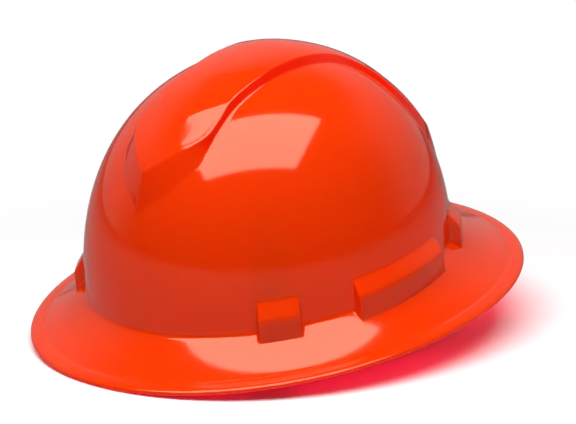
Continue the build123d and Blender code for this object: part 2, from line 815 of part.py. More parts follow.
def make_nape_pad():
    """Soft pad inside the ratchet housing, plain and closed."""
    outer = channel_inner() - housing_inner_wall - soft_clearance
    height = (-nape_pad_half_height, nape_pad_half_height)
    angles = (90 - nape_pad_half_angle, 90 + nape_pad_half_angle)
    return arc_strip(outer - nape_pad_thickness, nape_pad_thickness, height, angles)


def strap_end(angle, sign):
    """Plan place where a crown strap meets a key."""
    frame = foot_frame(angle)
    place = frame.from_local_coords(Vector(-key_plate_inner - strap_skew_gap, 0, 0))
    return Vector(sign * place.X, place.Y, 0)


def strap_arch(half_length, crown, inset):
    """Points of half an arch, from one foot over the crown to the other."""
    points = []
    for index in range(strap_stations + 1):
        turn = pi * index / strap_stations
        along = -(half_length - inset) * signed_power(cos(turn), 2 / strap_roundness)
        rise = (crown - inset) * sin(turn) ** (2 / strap_roundness)
        points.append((along, rise))
    return points


def make_crown_strap(sign, lift):
    """Webbing strap from a front key over the head to the opposite rear key."""
    front = strap_end(front_boss_angle, sign)
    rear = strap_end(rear_boss_angle, -sign)
    along = (rear - front).normalized()
    half = (rear - front).length / 2
    stand = dome_base_height + strap_stand_rise
    middle = (front + rear) / 2
    across = along.cross(Vector(0, 0, 1))
    plane = Plane(origin=(middle.X, middle.Y, stand), x_dir=along, z_dir=across)
    crown = dome_base_height + dome_height - shell_wall - strap_crown_clearance - stand + lift
    outer = [Vector(x, y, 0) for x, y in strap_arch(half, crown, -strap_thickness / 2)]
    inner = [Vector(x, y, 0) for x, y in strap_arch(half, crown, strap_thickness / 2)]
    low = strap_end_rise - strap_stand_rise
    edges = [
        Edge.make_spline(outer),
        Edge.make_line(outer[-1], outer[-1] + Vector(0, low, 0)),
        Edge.make_line(outer[-1] + Vector(0, low, 0), inner[-1] + Vector(0, low, 0)),
        Edge.make_line(inner[-1] + Vector(0, low, 0), inner[-1]),
        Edge.make_spline(inner[::-1]),
        Edge.make_line(inner[0], inner[0] + Vector(0, low, 0)),
        Edge.make_line(inner[0] + Vector(0, low, 0), outer[0] + Vector(0, low, 0)),
        Edge.make_line(outer[0] + Vector(0, low, 0), outer[0]),
    ]
    strap = Solid.extrude(Face(Wire(edges)), Vector(0, 0, strap_width))
    return plane * (Pos(0, 0, -strap_width / 2) * strap)


def rest_pitch():
    """Nose-down pitch at which the front lip and the nape housing both touch the table."""
    tilt = radians(nape_tilt)
    radius = channel_outer() + housing_cover_wall
    rear_y = pivot_y + radius * cos(tilt) - housing_half_height * sin(tilt)
    rear_z = pivot_z - radius * sin(tilt) - housing_half_height * cos(tilt)
    return atan2(-brim_lip_height / 2 - rear_z, rear_y + brim_front)


def rest_place():
    """Place of the hat on the table, centred under its brim."""
    pitch = rest_pitch()
    drop = -brim_front * sin(pitch) - brim_lip_height / 2 * cos(pitch)
    middle = (brim_rear - brim_front) / 2 * cos(pitch)
    return Pos(0, -middle, -drop) * Rot(degrees(pitch), 0, 0)


def hat_pieces():
    """Every piece in the hat's frame, by name."""
    pieces = {"shell": make_shell()}
    for place, angle, standoff in (
        ("front", front_boss_angle, front_boss_standoff),
        ("rear", rear_boss_angle, rear_boss_standoff),
    ):
        left, right = both_sides(make_key(angle, standoff))
        pieces[place + "_key_left"] = left
        pieces[place + "_key_right"] = right
    pieces["crown_strap_lower"] = make_crown_strap(1, 0.0)
    pieces["crown_strap_upper"] = make_crown_strap(-1, strap_thickness + strap_gap)
    pieces["head_band"] = make_front_band()
    pieces["sweatband"] = make_sweatband()
    pieces["swing_pin_left"] = make_swing_pin(left_rail_radius)
    pieces["swing_pin_right"] = mirror(make_swing_pin(right_rail_radius()), about=Plane.YZ)
    nape = {
        "left_rail": make_rail(left_rail_radius, 1),
        "right_rail": mirror(make_rail(right_rail_radius(), -1), about=Plane.YZ),
        "housing_plate": make_housing_plate(),
        "housing_cover": make_housing_cover(),
        "housing_screws": make_housing_screws(),
        "nape_pad": make_nape_pad(),
        "detent_ring": make_detent_ring(),
        "detent_spring": make_detent_spring(),
        "pinion": make_pinion(),
        "knob": make_knob(),
        "knob_screw": make_knob_screw(),
    }
    for name, solid in nape.items():
        pieces[name] = nape_place() * solid
    return pieces


def write_parts():
    """Write every piece, in its place at rest, to its own file."""
    os.makedirs("parts", exist_ok=True)
    for name, solid in hat_pieces().items():
        export_step(rest_place() * solid, f"parts/{name}.step")


if __name__ == "__main__":
    write_parts()
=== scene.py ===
import json
import math

import bmesh
import bpy
import numpy as np
from mathutils import Matrix, Vector


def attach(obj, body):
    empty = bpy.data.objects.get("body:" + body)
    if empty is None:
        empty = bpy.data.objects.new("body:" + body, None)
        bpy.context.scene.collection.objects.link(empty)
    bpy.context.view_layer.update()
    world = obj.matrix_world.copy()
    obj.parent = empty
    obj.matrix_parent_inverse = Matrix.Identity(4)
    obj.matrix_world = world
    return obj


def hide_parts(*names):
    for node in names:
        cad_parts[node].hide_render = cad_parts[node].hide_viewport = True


# Full brim hard hat. The glossy shell, the webbing and the cloth pads are new surfaces.
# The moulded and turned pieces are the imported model's own, with new finishes.
# Lengths in the dictionaries are millimetres in the hat's own frame, X to the wearer's left,
# -Y to the front, Z up from the brim edge. placeHat turns them into the frame's metres.

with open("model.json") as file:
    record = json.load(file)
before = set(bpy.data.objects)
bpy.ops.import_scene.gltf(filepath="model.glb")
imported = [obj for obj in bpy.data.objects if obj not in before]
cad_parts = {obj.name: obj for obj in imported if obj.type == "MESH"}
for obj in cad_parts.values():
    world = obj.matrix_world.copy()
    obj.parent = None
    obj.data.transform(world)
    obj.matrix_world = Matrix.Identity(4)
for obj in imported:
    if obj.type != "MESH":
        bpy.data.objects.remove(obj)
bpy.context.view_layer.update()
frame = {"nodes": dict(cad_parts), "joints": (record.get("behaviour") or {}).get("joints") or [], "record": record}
print("stage: frame loaded")

joints = {joint["name"]: joint for joint in frame["joints"]}
swingAxisPlace = np.array([0.0, 20.0, 4.0])  # the nape's swing axis in the hat's frame
slideAxis = joints["height_slide"]["axis"]
hatPitch = math.atan2(-slideAxis[1], slideAxis[2])
pitchMatrix = np.array([
    [1.0, 0.0, 0.0],
    [0.0, math.cos(hatPitch), -math.sin(hatPitch)],
    [0.0, math.sin(hatPitch), math.cos(hatPitch)],
])
hatOrigin = np.array(joints["nape_swing"]["pos_m"]) * 1000 - pitchMatrix @ swingAxisPlace


def placeHat(points):  # hat millimetres to frame metres
    return (points @ pitchMatrix.T + hatOrigin) / 1000


# Surfaces

def signedPower(value, exponent):
    return np.sign(value) * np.abs(value) ** exponent


def softRamp(value, rounding):  # 0 below 0 and the value above it, with a rounded corner
    return 0.5 * (value + np.sqrt(value * value + rounding * rounding))


def smoothStep(value):
    value = np.clip(value, 0.0, 1.0)
    return value * value * (3.0 - 2.0 * value)


def unitRows(vectors):
    return vectors / np.maximum(np.linalg.norm(vectors, axis=-1, keepdims=True), 1e-9)


def resampleRows(table, oldPlaces, newPlaces):
    # Linear interpolation along every row at once: each row's places are shifted by a
    # multiple of more than the longest row, so that one sorted axis holds them all.
    stride = max(oldPlaces.max(), newPlaces.max()) + 1.0
    shift = np.arange(len(oldPlaces))[:, None] * stride
    flatOld = (oldPlaces + shift).ravel()
    flatNew = (newPlaces + shift).ravel()
    columns = [np.interp(flatNew, flatOld, table[..., axis].ravel()) for axis in range(table.shape[-1])]
    return np.stack(columns, -1).reshape(newPlaces.shape + (table.shape[-1],))


def runningSums(steps):  # from 0 along each row
    return np.concatenate([np.zeros((len(steps), 1)), np.cumsum(steps, axis=1)], axis=1)


def rowLengths(points):  # arc length along each row, from its first point
    return runningSums(np.linalg.norm(np.diff(points, axis=1), axis=2))


def evenRows(points, count):  # the same rows with evenly spaced points
    lengths = rowLengths(points)
    return resampleRows(points, lengths, lengths[:, -1:] * np.linspace(0.0, 1.0, count))


def smoothRows(points, taps):  # binomial-like smoothing along rows, ends kept
    weights = np.exp(-0.5 * (np.arange(-3 * taps, 3 * taps + 1) / taps) ** 2)
    weights /= weights.sum()
    padded = np.pad(points, ((0, 0), (3 * taps, 3 * taps), (0, 0)), mode="reflect", reflect_type="odd")
    width = points.shape[1]
    return sum(weight * padded[:, index:index + width] for index, weight in enumerate(weights))


def denseOutline(corners, perSide):  # closed Catmull-Rom curve through corner points
    corners = np.array(corners, float)
    before, after, beyond = np.roll(corners, 1, 0), np.roll(corners, -1, 0), np.roll(corners, -2, 0)
    t = np.arange(perSide)[None, :, None] / perSide
    p0, p1, p2, p3 = (part[:, None, :] for part in (before, corners, after, beyond))
    curve = 0.5 * (2 * p1 + (p2 - p0) * t + (2 * p0 - 5 * p1 + 4 * p2 - p3) * t ** 2
                   + (3 * p1 - p0 - 3 * p2 + p3) * t ** 3)
    return curve.reshape(-1, 2)


def outlineDistance(places, outline):
    # Signed plan distance to a closed outline, positive inside.
    nearest = np.full(len(places), 1e9)
    crossings = np.zeros(len(places), int)
    for start, end in zip(outline, np.roll(outline, -1, 0)):  # a few dozen straight sides
        run = end - start
        toPlace = places - start
        along = np.clip(toPlace @ run / (run @ run), 0.0, 1.0)
        gap = toPlace - run * along[:, None]
        nearest = np.minimum(nearest, (gap * gap).sum(1))
        above = (start[1] > places[:, 1]) != (end[1] > places[:, 1])
        slope = run[0] / run[1] if run[1] else 0.0
        crossings += above & (places[:, 0] < start[0] + slope * (places[:, 1] - start[1]))
    return np.where(crossings % 2 == 1, 1.0, -1.0) * np.sqrt(nearest)


def outwardNormals(grid):  # unit normals of a grid that closes on itself across its columns
    around = np.roll(grid, -1, axis=0) - np.roll(grid, 1, axis=0)
    normals = unitRows(np.cross(np.gradient(grid, axis=1), around))
    return normals * np.sign((normals * (grid - [0, 0, 40])).sum(-1).mean())


def gridFaces(columns, rows, firstIndex=0, closedColumns=True):
    lastColumn = columns if closedColumns else columns - 1
    i, j = np.meshgrid(np.arange(lastColumn), np.arange(rows - 1), indexing="ij")
    a = i * rows + j
    b = ((i + 1) % columns) * rows + j
    return np.stack([a, a + 1, b + 1, b], -1).reshape(-1, 4) + firstIndex


def addObject(name, data):
    piece = bpy.data.objects.new(name, data)
    bpy.context.scene.collection.objects.link(piece)
    return piece


def makeMesh(name, points, faces, smooth=True, closed=True):  # closed pieces get outward faces
    mesh = bpy.data.meshes.new(name)
    mesh.from_pydata(np.asarray(points, float).tolist(), [], [list(map(int, face)) for face in faces])
    mesh.validate()
    if closed:
        shape = bmesh.new()
        shape.from_mesh(mesh)
        bmesh.ops.recalc_face_normals(shape, faces=shape.faces)
        shape.to_mesh(mesh)
        shape.free()
    mesh.update()
    if smooth:
        mesh.polygons.foreach_set("use_smooth", np.ones(len(mesh.polygons), bool))
    return addObject(name, mesh)


# Shell

shellSizes = {
    "brimHalfWidth": 139.6, "brimFront": 165.2, "brimRear": 165.5, "brimRoundness": 2.04,
    "brimRearWidening": 0.023, "lipHalfHeight": 1.2, "lipBand": 8.5, "lipRise": 1.9, "lipStep": 0.45,
    "lipSlope": (0.7, 0.1), "flareSag": 1.0, "rimFlat": 1.0,
    "domeHalfWidth": 105.6, "domeHalfLength": 119.9, "domeMiddle": -5.3, "baseHeight": 22.5,
    "baseLean": 3.3, "domeHeight": 127.6, "crownShift": 10.2, "domeRoundness": 2.05,
    "frontFullness": 2.36, "rearFullness": 1.94, "sideFullness": 2.25, "wall": 2.6,
    "columns": 480, "outerRows": 154, "innerRows": 50, "fineRows": 840, "creaseTaps": 3,
    "domePoints": 420, "nearPoints": 60, "farPoints": 90,  # profile points before the rows are spaced
    "rowDensity": 0.16, "sharpestBend": 1.5,
    "rearDensity": 0.6, "rearPlace": 0.72, "rearSpread": 0.10,  # more columns where the ridge ends
}
ridgeSizes = {
    "lift": 4.7, "sideDrop": 0.9, "halfWidth": 28.0, "frontLift": 0.3, "frontFrom": -45.0, "frontOver": 40.0,
    "bead": 0.16, "beadPlace": 0.5, "beadWidth": 0.6, "panelHollows": (0.45, 0.3), "panelRises": (0.5, 0.25),
    "lowest": 66.0, "footRounding": 0.06, "edgeRounding": 0.03, "overrun": 1.3,
    "leastWall": 1.6, "shadeBlur": 1.5, "tipShade": 0.25, "tipFrom": -84.0, "tipOver": 12.0,
    # Half outlines in plan, front tip first: the foot of the ridge's wall and its crisp upper edge.
    "foot": ((0.0, -110.0), (15.0, -102.8), (23.4, -94.5), (28.8, -87.0), (30.8, -82.4), (30.9, -75.0),
             (30.5, -66.0), (29.9, -57.0), (29.6, -47.0), (30.3, -31.0), (30.3, -10.0), (31.8, 12.0),
             (34.2, 32.0), (38.2, 44.5), (45.6, 52.5), (55.8, 58.0), (64.6, 65.5), (67.8, 76.5),
             (60.0, 90.0), (40.0, 101.5), (20.0, 107.0), (0.0, 109.0)),
    "edge": ((0.0, -97.6), (7.0, -93.6), (14.0, -88.3), (21.0, -81.7), (25.0, -77.3), (27.4, -73.2),
             (28.2, -69.0), (27.8, -61.0), (25.9, -48.0), (25.7, -33.0), (26.1, -11.0), (27.2, 11.0),
             (28.8, 32.0), (33.2, 45.5), (41.6, 54.5), (51.3, 60.5), (58.5, 67.5), (60.5, 76.0),
             (53.0, 87.0), (36.0, 96.5), (18.0, 101.5), (0.0, 103.0)),
    "chevronStep": 0.16, "chevronWidth": 0.9,
    "chevrons": (((0.0, -68.5), (10.0, -66.7), (27.5, -48.0), (60.0, -10.0)),
                 ((0.0, -36.0), (15.0, -25.0), (25.6, -9.5), (60.0, 38.0))),
}
bossSizes = {
    "kneeRise": 8.8, "topRise": 17.8, "endWidth": 1.9, "endLines": 10, "measuredOut": 4.0,
    "places": ((-40.4, 13.0), (1.7, 39.4), (42.5, 13.0)),  # angle and half width
    "standoffs": ((-70.0, 5.6), (-46.0, 6.2), (43.0, 6.2), (62.0, 7.2)),  # place along the hat, standoff
    "footSoftness": 9, "footReach": 7.5, "kneeSoftness": 8, "kneeReach": 6.0, "share": (0.30, 0.26, 0.44),
}


def footPoint(u, outset, rise):  # a ring parallel to the dome's foot
    s = shellSizes
    x = (s["domeHalfWidth"] + outset) * signedPower(np.cos(u), 2 / s["domeRoundness"])
    y = (s["domeHalfLength"] + outset) * signedPower(np.sin(u), 2 / s["domeRoundness"]) + s["domeMiddle"]
    z = s["baseHeight"] + s["baseLean"] * (y - s["domeMiddle"]) / s["domeHalfLength"] + rise
    return np.stack(np.broadcast_arrays(x, y, z), -1)


def domePoints(u, q, inset):
    # Dome: q runs from the crown at 0 to the foot at 1. Rise is sin(a)^(2/n) and the plan shrinks
    # by cos(a)^(2/n), a superellipse profile whose exponent n changes round the dome.
    s = shellSizes
    fullness = np.where(np.sin(u) > 0, s["rearFullness"], s["frontFullness"]) * np.sin(u) ** 2
    fullness = fullness + s["sideFullness"] * np.cos(u) ** 2
    turn = np.pi / 2 * (1 - q)
    rise = np.sin(turn) ** (2 / fullness)
    shrink = np.maximum(np.cos(turn), 0.0) ** (2 / fullness)
    x = (s["domeHalfWidth"] - inset) * shrink * signedPower(np.cos(u), 2 / s["domeRoundness"])
    y = (s["domeHalfLength"] - inset) * shrink * signedPower(np.sin(u), 2 / s["domeRoundness"])
    footLean = s["baseLean"] * y / s["domeHalfLength"] * np.maximum(1 - rise / 0.15, 0.0) ** 2
    z = s["baseHeight"] + rise * (s["domeHeight"] - inset) + footLean
    return np.stack(np.broadcast_arrays(x, y + s["domeMiddle"] + s["crownShift"] * rise, z), -1)


def brimEdge(u, inset, height):  # a ring parallel to the brim's edge
    s = shellSizes
    across, along = np.cos(u), np.sin(u)
    reach = np.where(along > 0, s["brimRear"], s["brimFront"]) - inset
    x = (s["brimHalfWidth"] - inset) * signedPower(across, 2 / s["brimRoundness"])
    x = x * (1 + s["brimRearWidening"] * along)
    y = reach * signedPower(along, 2 / s["brimRoundness"])
    return np.stack(np.broadcast_arrays(x, y, height + 0 * u), -1)


def brimPoints(u, q, drop):
    # Brim flare: q runs from the foot at 0 to the lip band at 1, sagging by a parabola.
    s = shellSizes
    inner = footPoint(u, 0.0, 0.0)
    outer = brimEdge(u, s["lipBand"], s["lipHalfHeight"] + s["lipRise"])
    points = inner + (outer - inner) * q[..., None]
    points[..., 2] -= 4 * s["flareSag"] * q * (1 - q) + drop
    return points


def keyFrame(angle, side):  # a place on the dome's foot and its outward direction
    turn = math.radians(angle)
    s = shellSizes
    x, y = s["domeHalfWidth"] * math.cos(turn), s["domeHalfLength"] * math.sin(turn) + s["domeMiddle"]
    outward = np.array([math.cos(turn) / s["domeHalfWidth"], math.sin(turn) / s["domeHalfLength"], 0.0])
    outward = unitRows(outward)
    z = s["baseHeight"] + s["baseLean"] * (y - s["domeMiddle"]) / s["domeHalfLength"]
    return np.array([x * side, y, z]), outward * [side, 1.0, 1.0]


def bossMask(u):  # 1 inside each boss and 0 outside, for both sides of the hat
    place = footPoint(u, bossSizes["measuredOut"], 0.0)[..., :2]
    mask = np.zeros(u.shape)
    for angle, halfWidth in bossSizes["places"]:
        centre, outward = keyFrame(angle, 1.0)
        tangent = np.array([-outward[1], outward[0]])
        for side in (1.0, -1.0):
            mirrored = place * [side, 1.0]
            across = np.abs((mirrored - centre[:2]) @ tangent)
            inside = smoothStep((halfWidth - across) / bossSizes["endWidth"] + 0.5) * (mirrored[..., 0] > 0)
            mask = np.maximum(mask, inside)
    return mask


def bossStandoff(u):  # how far the bosses' faces stand out, changing slowly between them
    places = np.array(bossSizes["standoffs"])
    return np.interp(footPoint(u, 0.0, 0.0)[..., 1], places[:, 0], places[:, 1])


def shellColumns():
    # Directions of the grid's columns: even along the foot, with extra lines at the bosses' ends.
    s = shellSizes
    u = np.linspace(0, 2 * np.pi, 40001)
    step = np.linalg.norm(np.diff(footPoint(u, bossSizes["measuredOut"], 0.0), axis=0), axis=1)
    extra = np.abs(np.diff(bossMask(u))) / step * bossSizes["endLines"]
    lines = s["columns"] - extra @ step
    spread = np.convolve(extra, np.ones(25) / 25, mode="same")
    sideways = (np.abs(np.cos((u[1:] + u[:-1]) / 2)) - s["rearPlace"]) / s["rearSpread"]
    flare = 1 + s["rearDensity"] * np.exp(-sideways ** 2) * (np.sin(u[1:]) > 0)
    density = flare / (flare @ step) * lines + spread
    total = np.concatenate([[0.0], np.cumsum(density * step)])
    total *= s["columns"] / total[-1]
    return np.interp(np.arange(s["columns"]) + 0.5, total, u)


def ridgeOutline(corners):
    # Closed outline from its half: the first two points keep the front tip straight.
    half = np.array(corners)
    ring = denseOutline(np.concatenate([half, half[-2:0:-1] * [-1, 1]]), 4)
    arm = half[0] + (half[1] - half[0]) * np.linspace(0, 1, 5)[:, None]
    ring[:5], ring[-4:] = arm, arm[:0:-1] * [-1, 1]
    return ring


def ridgeLift(points):
    # How far each point is raised along its normal, by the share of the way from the foot of the
    # wall to its edge. The plan distances to both outlines give that share and where the wall gets painted shade.
    r = ridgeSizes
    lift = np.zeros(points.shape[:2])
    chosen = points[..., 2] > r["lowest"]
    base = points[chosen]
    fromFoot = outlineDistance(base[:, :2], ridgeOutline(r["foot"]))
    fromEdge = outlineDistance(base[:, :2], ridgeOutline(r["edge"]))
    share = fromFoot / np.maximum(fromFoot - fromEdge, r["leastWall"])
    share = softRamp(share, r["footRounding"]) * (share > -3)
    share = np.clip(share, 0, r["overrun"])
    share = 1 - softRamp(1 - share, r["edgeRounding"])
    front = smoothStep((r["frontFrom"] - base[:, 1]) / r["frontOver"])
    crowning = r["sideDrop"] * np.minimum((base[:, 0] / r["halfWidth"]) ** 2, 1.6)
    height = (r["lift"] - crowning + r["frontLift"] * front) * share
    height += r["bead"] * np.exp(-((fromEdge - r["beadPlace"]) / r["beadWidth"]) ** 2)
    # Between the front edge and the creases the top is made of flatter, slightly hollow panels,
    # each a little proud of the next one at its rear.
    ahead = np.interp(np.abs(base[:, 0]), *np.array(r["edge"][:6]).T)
    for chevron, hollow, rise in zip(r["chevrons"], r["panelHollows"], r["panelRises"]):
        corners = np.array(chevron)
        line = np.interp(np.abs(base[:, 0]), corners[:, 0], corners[:, 1])
        before = 1 - smoothStep((base[:, 1] - line) / r["chevronWidth"])
        t = np.clip((base[:, 1] - ahead) / (line - ahead), 0, 1)
        step = r["chevronStep"] * before + hollow * 4 * t * (1 - t) - rise * t ** 3 * before
        height -= step * smoothStep(share)
        ahead = line
    lift[chosen] = height
    # Painted shade: depth marks the ridge's side walls, less at the front tip, for a darker orange that stands in
    # for their shade.
    depth = np.zeros(lift.shape)
    behindTip = smoothStep((base[:, 1] - r["tipFrom"]) / r["tipOver"])
    onWall = smoothStep(fromFoot / r["shadeBlur"] + 0.5) * smoothStep(-fromEdge / r["shadeBlur"] + 0.5)
    depth[chosen] = onWall * (r["tipShade"] + (1 - r["tipShade"]) * behindTip)
    return lift, depth


def segmentRows(points, breaks, counts):
    # Rows with evenly spaced points within each of three stretches of their length.
    lengths = rowLengths(points)
    ends = np.concatenate([np.zeros((len(points), 1)), breaks, lengths[:, -1:]], axis=1)
    wanted = [ends[:, k:k + 1] + (ends[:, k + 1:k + 2] - ends[:, k:k + 1]) * np.arange(count) / count
              for k, count in enumerate(counts)]
    wanted.append(lengths[:, -1:])
    return resampleRows(points, lengths, np.concatenate(wanted, axis=1))


def shellOuter(u):
    # Outer profile of each column: crown to foot, out over the brim, round the lip. Where a boss
    # stands, the profile leaves the dome for its slope and its upright face. The plain and the
    # bossed profile part and meet at the same rows, so that a boss's end is a straight wall.
    s, b = shellSizes, bossSizes
    column = u[:, None]
    dome = domePoints(column, np.linspace(0, 1, s["domePoints"])[None, :] ** 0.9, 0.0)
    foot = footPoint(column, 0.0, 0.0)[..., 2]
    standoff = bossStandoff(column)
    brimWide = (brimPoints(column, np.ones_like(column), 0.0) - dome[:, -1:])[..., :2]
    reachShare = standoff / np.linalg.norm(brimWide, axis=2)
    near, far = (np.linspace(0, 1, s[count] + 1)[1:] for count in ("nearPoints", "farPoints"))
    near = brimPoints(column, reachShare * near, 0.0)
    far = brimPoints(column, reachShare + (1 - reachShare) * far, 0.0)
    edge, (inward, down) = s["lipHalfHeight"], s["lipSlope"]
    lip = [brimEdge(column, s["lipBand"] - inward, edge + s["lipRise"] + s["lipStep"] - down),
           brimEdge(column, edge, edge + s["lipStep"])]
    for turn in np.linspace(np.pi / 2, -np.pi / 2, 11)[1:]:
        lip.append(brimEdge(column, edge * (1 - math.cos(turn)), edge * math.sin(turn)))
    plain = np.concatenate([dome, near, far] + lip, axis=1)
    rise = dome[..., 2] - foot
    top = b["topRise"] + s["wall"]
    slope = standoff - (standoff + s["wall"]) * (rise - b["kneeRise"]) / (top - b["kneeRise"])
    sloping = rise > b["kneeRise"]
    onBoss = footPoint(np.broadcast_to(column, rise.shape), np.where(sloping, slope, standoff), 0.0)
    bottom = near[:, -1:, 2]
    faceHeight = bottom + (foot + b["kneeRise"] - bottom) * np.clip(rise / b["kneeRise"], 0, 1)
    onBoss[..., 2] = np.where(sloping, dome[..., 2], faceHeight)
    off = ((onBoss[..., :2] ** 2).sum(-1) > (dome[..., :2] ** 2).sum(-1)) & (rise < top)
    onBoss = np.where(off[..., None], onBoss, dome)
    bossed = np.concatenate([onBoss, near[:, -1:] + 0 * near, far] + lip, axis=1)
    start = np.argmax(off, axis=1)[:, None]
    counts = [int(share * s["fineRows"]) for share in b["share"]]
    profiles = []
    for points in (plain, bossed):
        lengths = rowLengths(points)
        nearEnd = lengths[:, s["domePoints"] + s["nearPoints"] - 1, None]
        breaks = np.concatenate([np.take_along_axis(lengths, start, 1), nearEnd], axis=1)
        profiles.append(segmentRows(points, breaks, counts))
    return profiles


def softenRows(rows, u, mask):
    # The concave corner at the dome's foot and the bosses' knees are rounder than other edges.
    b = bossSizes
    crisp = smoothRows(rows, shellSizes["creaseTaps"])
    column = u[:, None]
    foot, knee = footPoint(column, 0.0, 0.0), footPoint(column, bossStandoff(column), b["kneeRise"])
    corners = ((foot, b["footReach"], b["footSoftness"], 1 - mask),
               (knee, b["kneeReach"], b["kneeSoftness"], mask))
    for corner, reach, softness, where in corners:
        away = np.linalg.norm(rows - corner, axis=2) / reach
        share = np.exp(-away ** 2) * where[:, None]
        crisp = crisp + (smoothRows(rows, softness) - crisp) * share[..., None]
    return crisp


def shellInner(u):
    # Inner profile of each column, from the lip's underside up to the crown.
    s = shellSizes
    column, low = u[:, None], s["lipHalfHeight"]
    flatEdge = brimEdge(column, s["rimFlat"], -low)
    bandInner = brimEdge(column, s["lipBand"], low + s["lipRise"] - s["wall"])
    under = brimPoints(*np.broadcast_arrays(column, np.linspace(1, 0.06, 60)), s["wall"])[:, 1:]
    dome = domePoints(column, np.linspace(1, 0, 300)[None, :] ** 0.9, s["wall"])[:, 4:]
    return np.concatenate([flatEdge, bandInner, under, dome], axis=1)


def gatherRows(outer, depth):
    # Rows gather where the profile bends or the ridge climbs.
    s = shellSizes
    lengths = rowLengths(outer)
    direction = unitRows(np.gradient(outer, axis=1))
    bend = np.linalg.norm(np.gradient(direction, axis=1), axis=2) / (lengths[:, -1:] / lengths.shape[1])
    bend = np.minimum(bend, s["sharpestBend"])
    around = sum(np.roll(bend, shift, axis=0) for shift in range(-3, 4)) / 7
    density = s["rowDensity"] + np.abs(smoothRows(around[..., None], 5)[..., 0])
    steps = (density[:, 1:] + density[:, :-1]) / 2 * np.diff(lengths, axis=1)
    total = runningSums(steps)
    total /= total[:, -1:]
    wanted = np.broadcast_to(np.linspace(0, 1, s["outerRows"]), (len(outer), s["outerRows"]))
    places = resampleRows(lengths[..., None], total * 1000, wanted * 1000)[..., 0]
    outer = resampleRows(np.concatenate([outer, depth[..., None]], axis=2), lengths, places)
    return outer[..., :3], outer[..., 3]


def makeShell():
    s = shellSizes
    u = shellColumns()
    plain, bossed = shellOuter(u)
    mask = bossMask(u)
    fine = softenRows(plain + (bossed - plain) * mask[:, None, None], u, mask)
    normals = outwardNormals(fine)
    crownNormal = normals[:, 0] = unitRows(normals[:, 1].mean(0))
    lift, depth = ridgeLift(fine)
    outer = fine + normals * lift[..., None]
    outer[:, 0] = outer[:, 0].mean(0)
    outer, depth = gatherRows(outer, depth)
    inner = smoothRows(evenRows(shellInner(u), 400), 2)
    normals = outwardNormals(inner)
    normals[:, -1] = crownNormal
    lift = ridgeLift(inner + normals * s["wall"])[0]  # as high as the outer surface over it
    inner = evenRows(inner + normals * lift[..., None], s["innerRows"])
    rows = np.concatenate([outer, inner[:, :-1]], axis=1)[:, 1:]
    columns, count = rows.shape[:2]
    points = np.concatenate([rows.reshape(-1, 3), [outer[:, 0].mean(0), inner[:, -1].mean(0)]])
    faces = gridFaces(columns, count)
    ring = np.arange(columns) * count
    nextRing = np.roll(ring, -1)
    crown, underCrown = np.full(columns, len(points) - 2), np.full(columns, len(points) - 1)
    topFan = np.stack([crown, ring, nextRing], -1)
    underFan = np.stack([underCrown, nextRing + count - 1, ring + count - 1], -1)
    shell = makeMesh("shellMoulding", placeHat(points), faces.tolist() + topFan.tolist() + underFan.tolist())
    # Painted shade: this attribute carries where the ridge's side walls are painted a darker orange.
    paintedWallShade = np.zeros((columns, count))
    paintedWallShade[:, :s["outerRows"] - 1] = depth[:, 1:]
    layer = shell.data.attributes.new("paintedWallShade", "FLOAT", "POINT")  # 1 on the side walls of the ridge
    layer.data.foreach_set("value", np.concatenate([paintedWallShade.ravel(), [0.0, 0.0]]))
    print("shell: triangles", 2 * len(faces) + 2 * columns)
    return shell


pocketSizes = {
    # Angle of each boss, its pocket's reach from the dome's foot and half width, and whether the
    # pocket lies straight along the hat.
    "cuts": ((-40.4, (0.6, 3.8), 10.5, False), (1.7, (-1.26, 3.34), 17.0, True),
             (42.5, (0.6, 5.4), 10.5, False)),
    "low": -22.5, "high": 7.8, "sharp": 60.0, "straightCorner": 3.1,
}


def cutPockets(shell):
    # Key pockets and accessory slots are cut up into the bosses from the brim's underside.
    p = pocketSizes
    boxes = []
    for side in (1.0, -1.0):
        for angle, reach, half, straight in p["cuts"]:
            foot, outward = keyFrame(angle, side)
            outward = np.array([side, 0.0, 0.0]) if straight else outward
            tangent = np.array([-outward[1], outward[0], 0.0])
            boxes.append([foot + outward * x + tangent * y + [0.0, 0.0, z]
                          for x in reach for y in (-half, half) for z in (p["low"], p["high"])])
    sides = np.array([[0, 1, 3, 2], [4, 6, 7, 5], [0, 4, 5, 1], [2, 3, 7, 6], [0, 2, 6, 4], [1, 5, 7, 3]])
    faces = (sides[None] + 8 * np.arange(len(boxes))[:, None, None]).reshape(-1, 4)
    cutter = makeMesh("pocketCutter", placeHat(np.array(boxes).reshape(-1, 3)), faces.tolist(), False)
    cut = shell.modifiers.new("pockets", "BOOLEAN")
    cut.operation, cut.solver, cut.object = "DIFFERENCE", "EXACT", cutter
    evaluated = shell.evaluated_get(bpy.context.evaluated_depsgraph_get())
    carved = bpy.data.meshes.new_from_object(evaluated)
    shell.modifiers.remove(cut)
    bpy.data.objects.remove(cutter)
    shell.data = carved
    # Faces with a straight corner are split, so that no two of their diagonals coincide.
    shape = bmesh.new()
    shape.from_mesh(carved)
    straight = [face for face in shape.faces if len(face.verts) > 4
                or max(corner.calc_angle() for corner in face.loops) > p["straightCorner"]]
    bmesh.ops.triangulate(shape, faces=straight, quad_method="BEAUTY", ngon_method="BEAUTY")
    shape.to_mesh(carved)
    shape.free()
    carved.set_sharp_from_angle(angle=math.radians(p["sharp"]))
    carved.calc_loop_triangles()
    print("shell: triangles after the pockets", len(carved.loop_triangles))


# Finishes

def connect(tree, value, target):  # value: a plain value, an output, or a node for its first output in use
    if isinstance(value, bpy.types.Node):
        value = next(socket for socket in value.outputs if socket.enabled)
    if isinstance(value, bpy.types.NodeSocket):
        tree.links.new(value, target)
    else:
        target.default_value = value


def addNode(tree, kind, inputs=(), **settings):
    node = tree.nodes.new("ShaderNode" + kind)
    for name, value in settings.items():
        setattr(node, name, value)
    for socket, value in dict(inputs).items():
        connect(tree, value, node.inputs[socket])
    return node


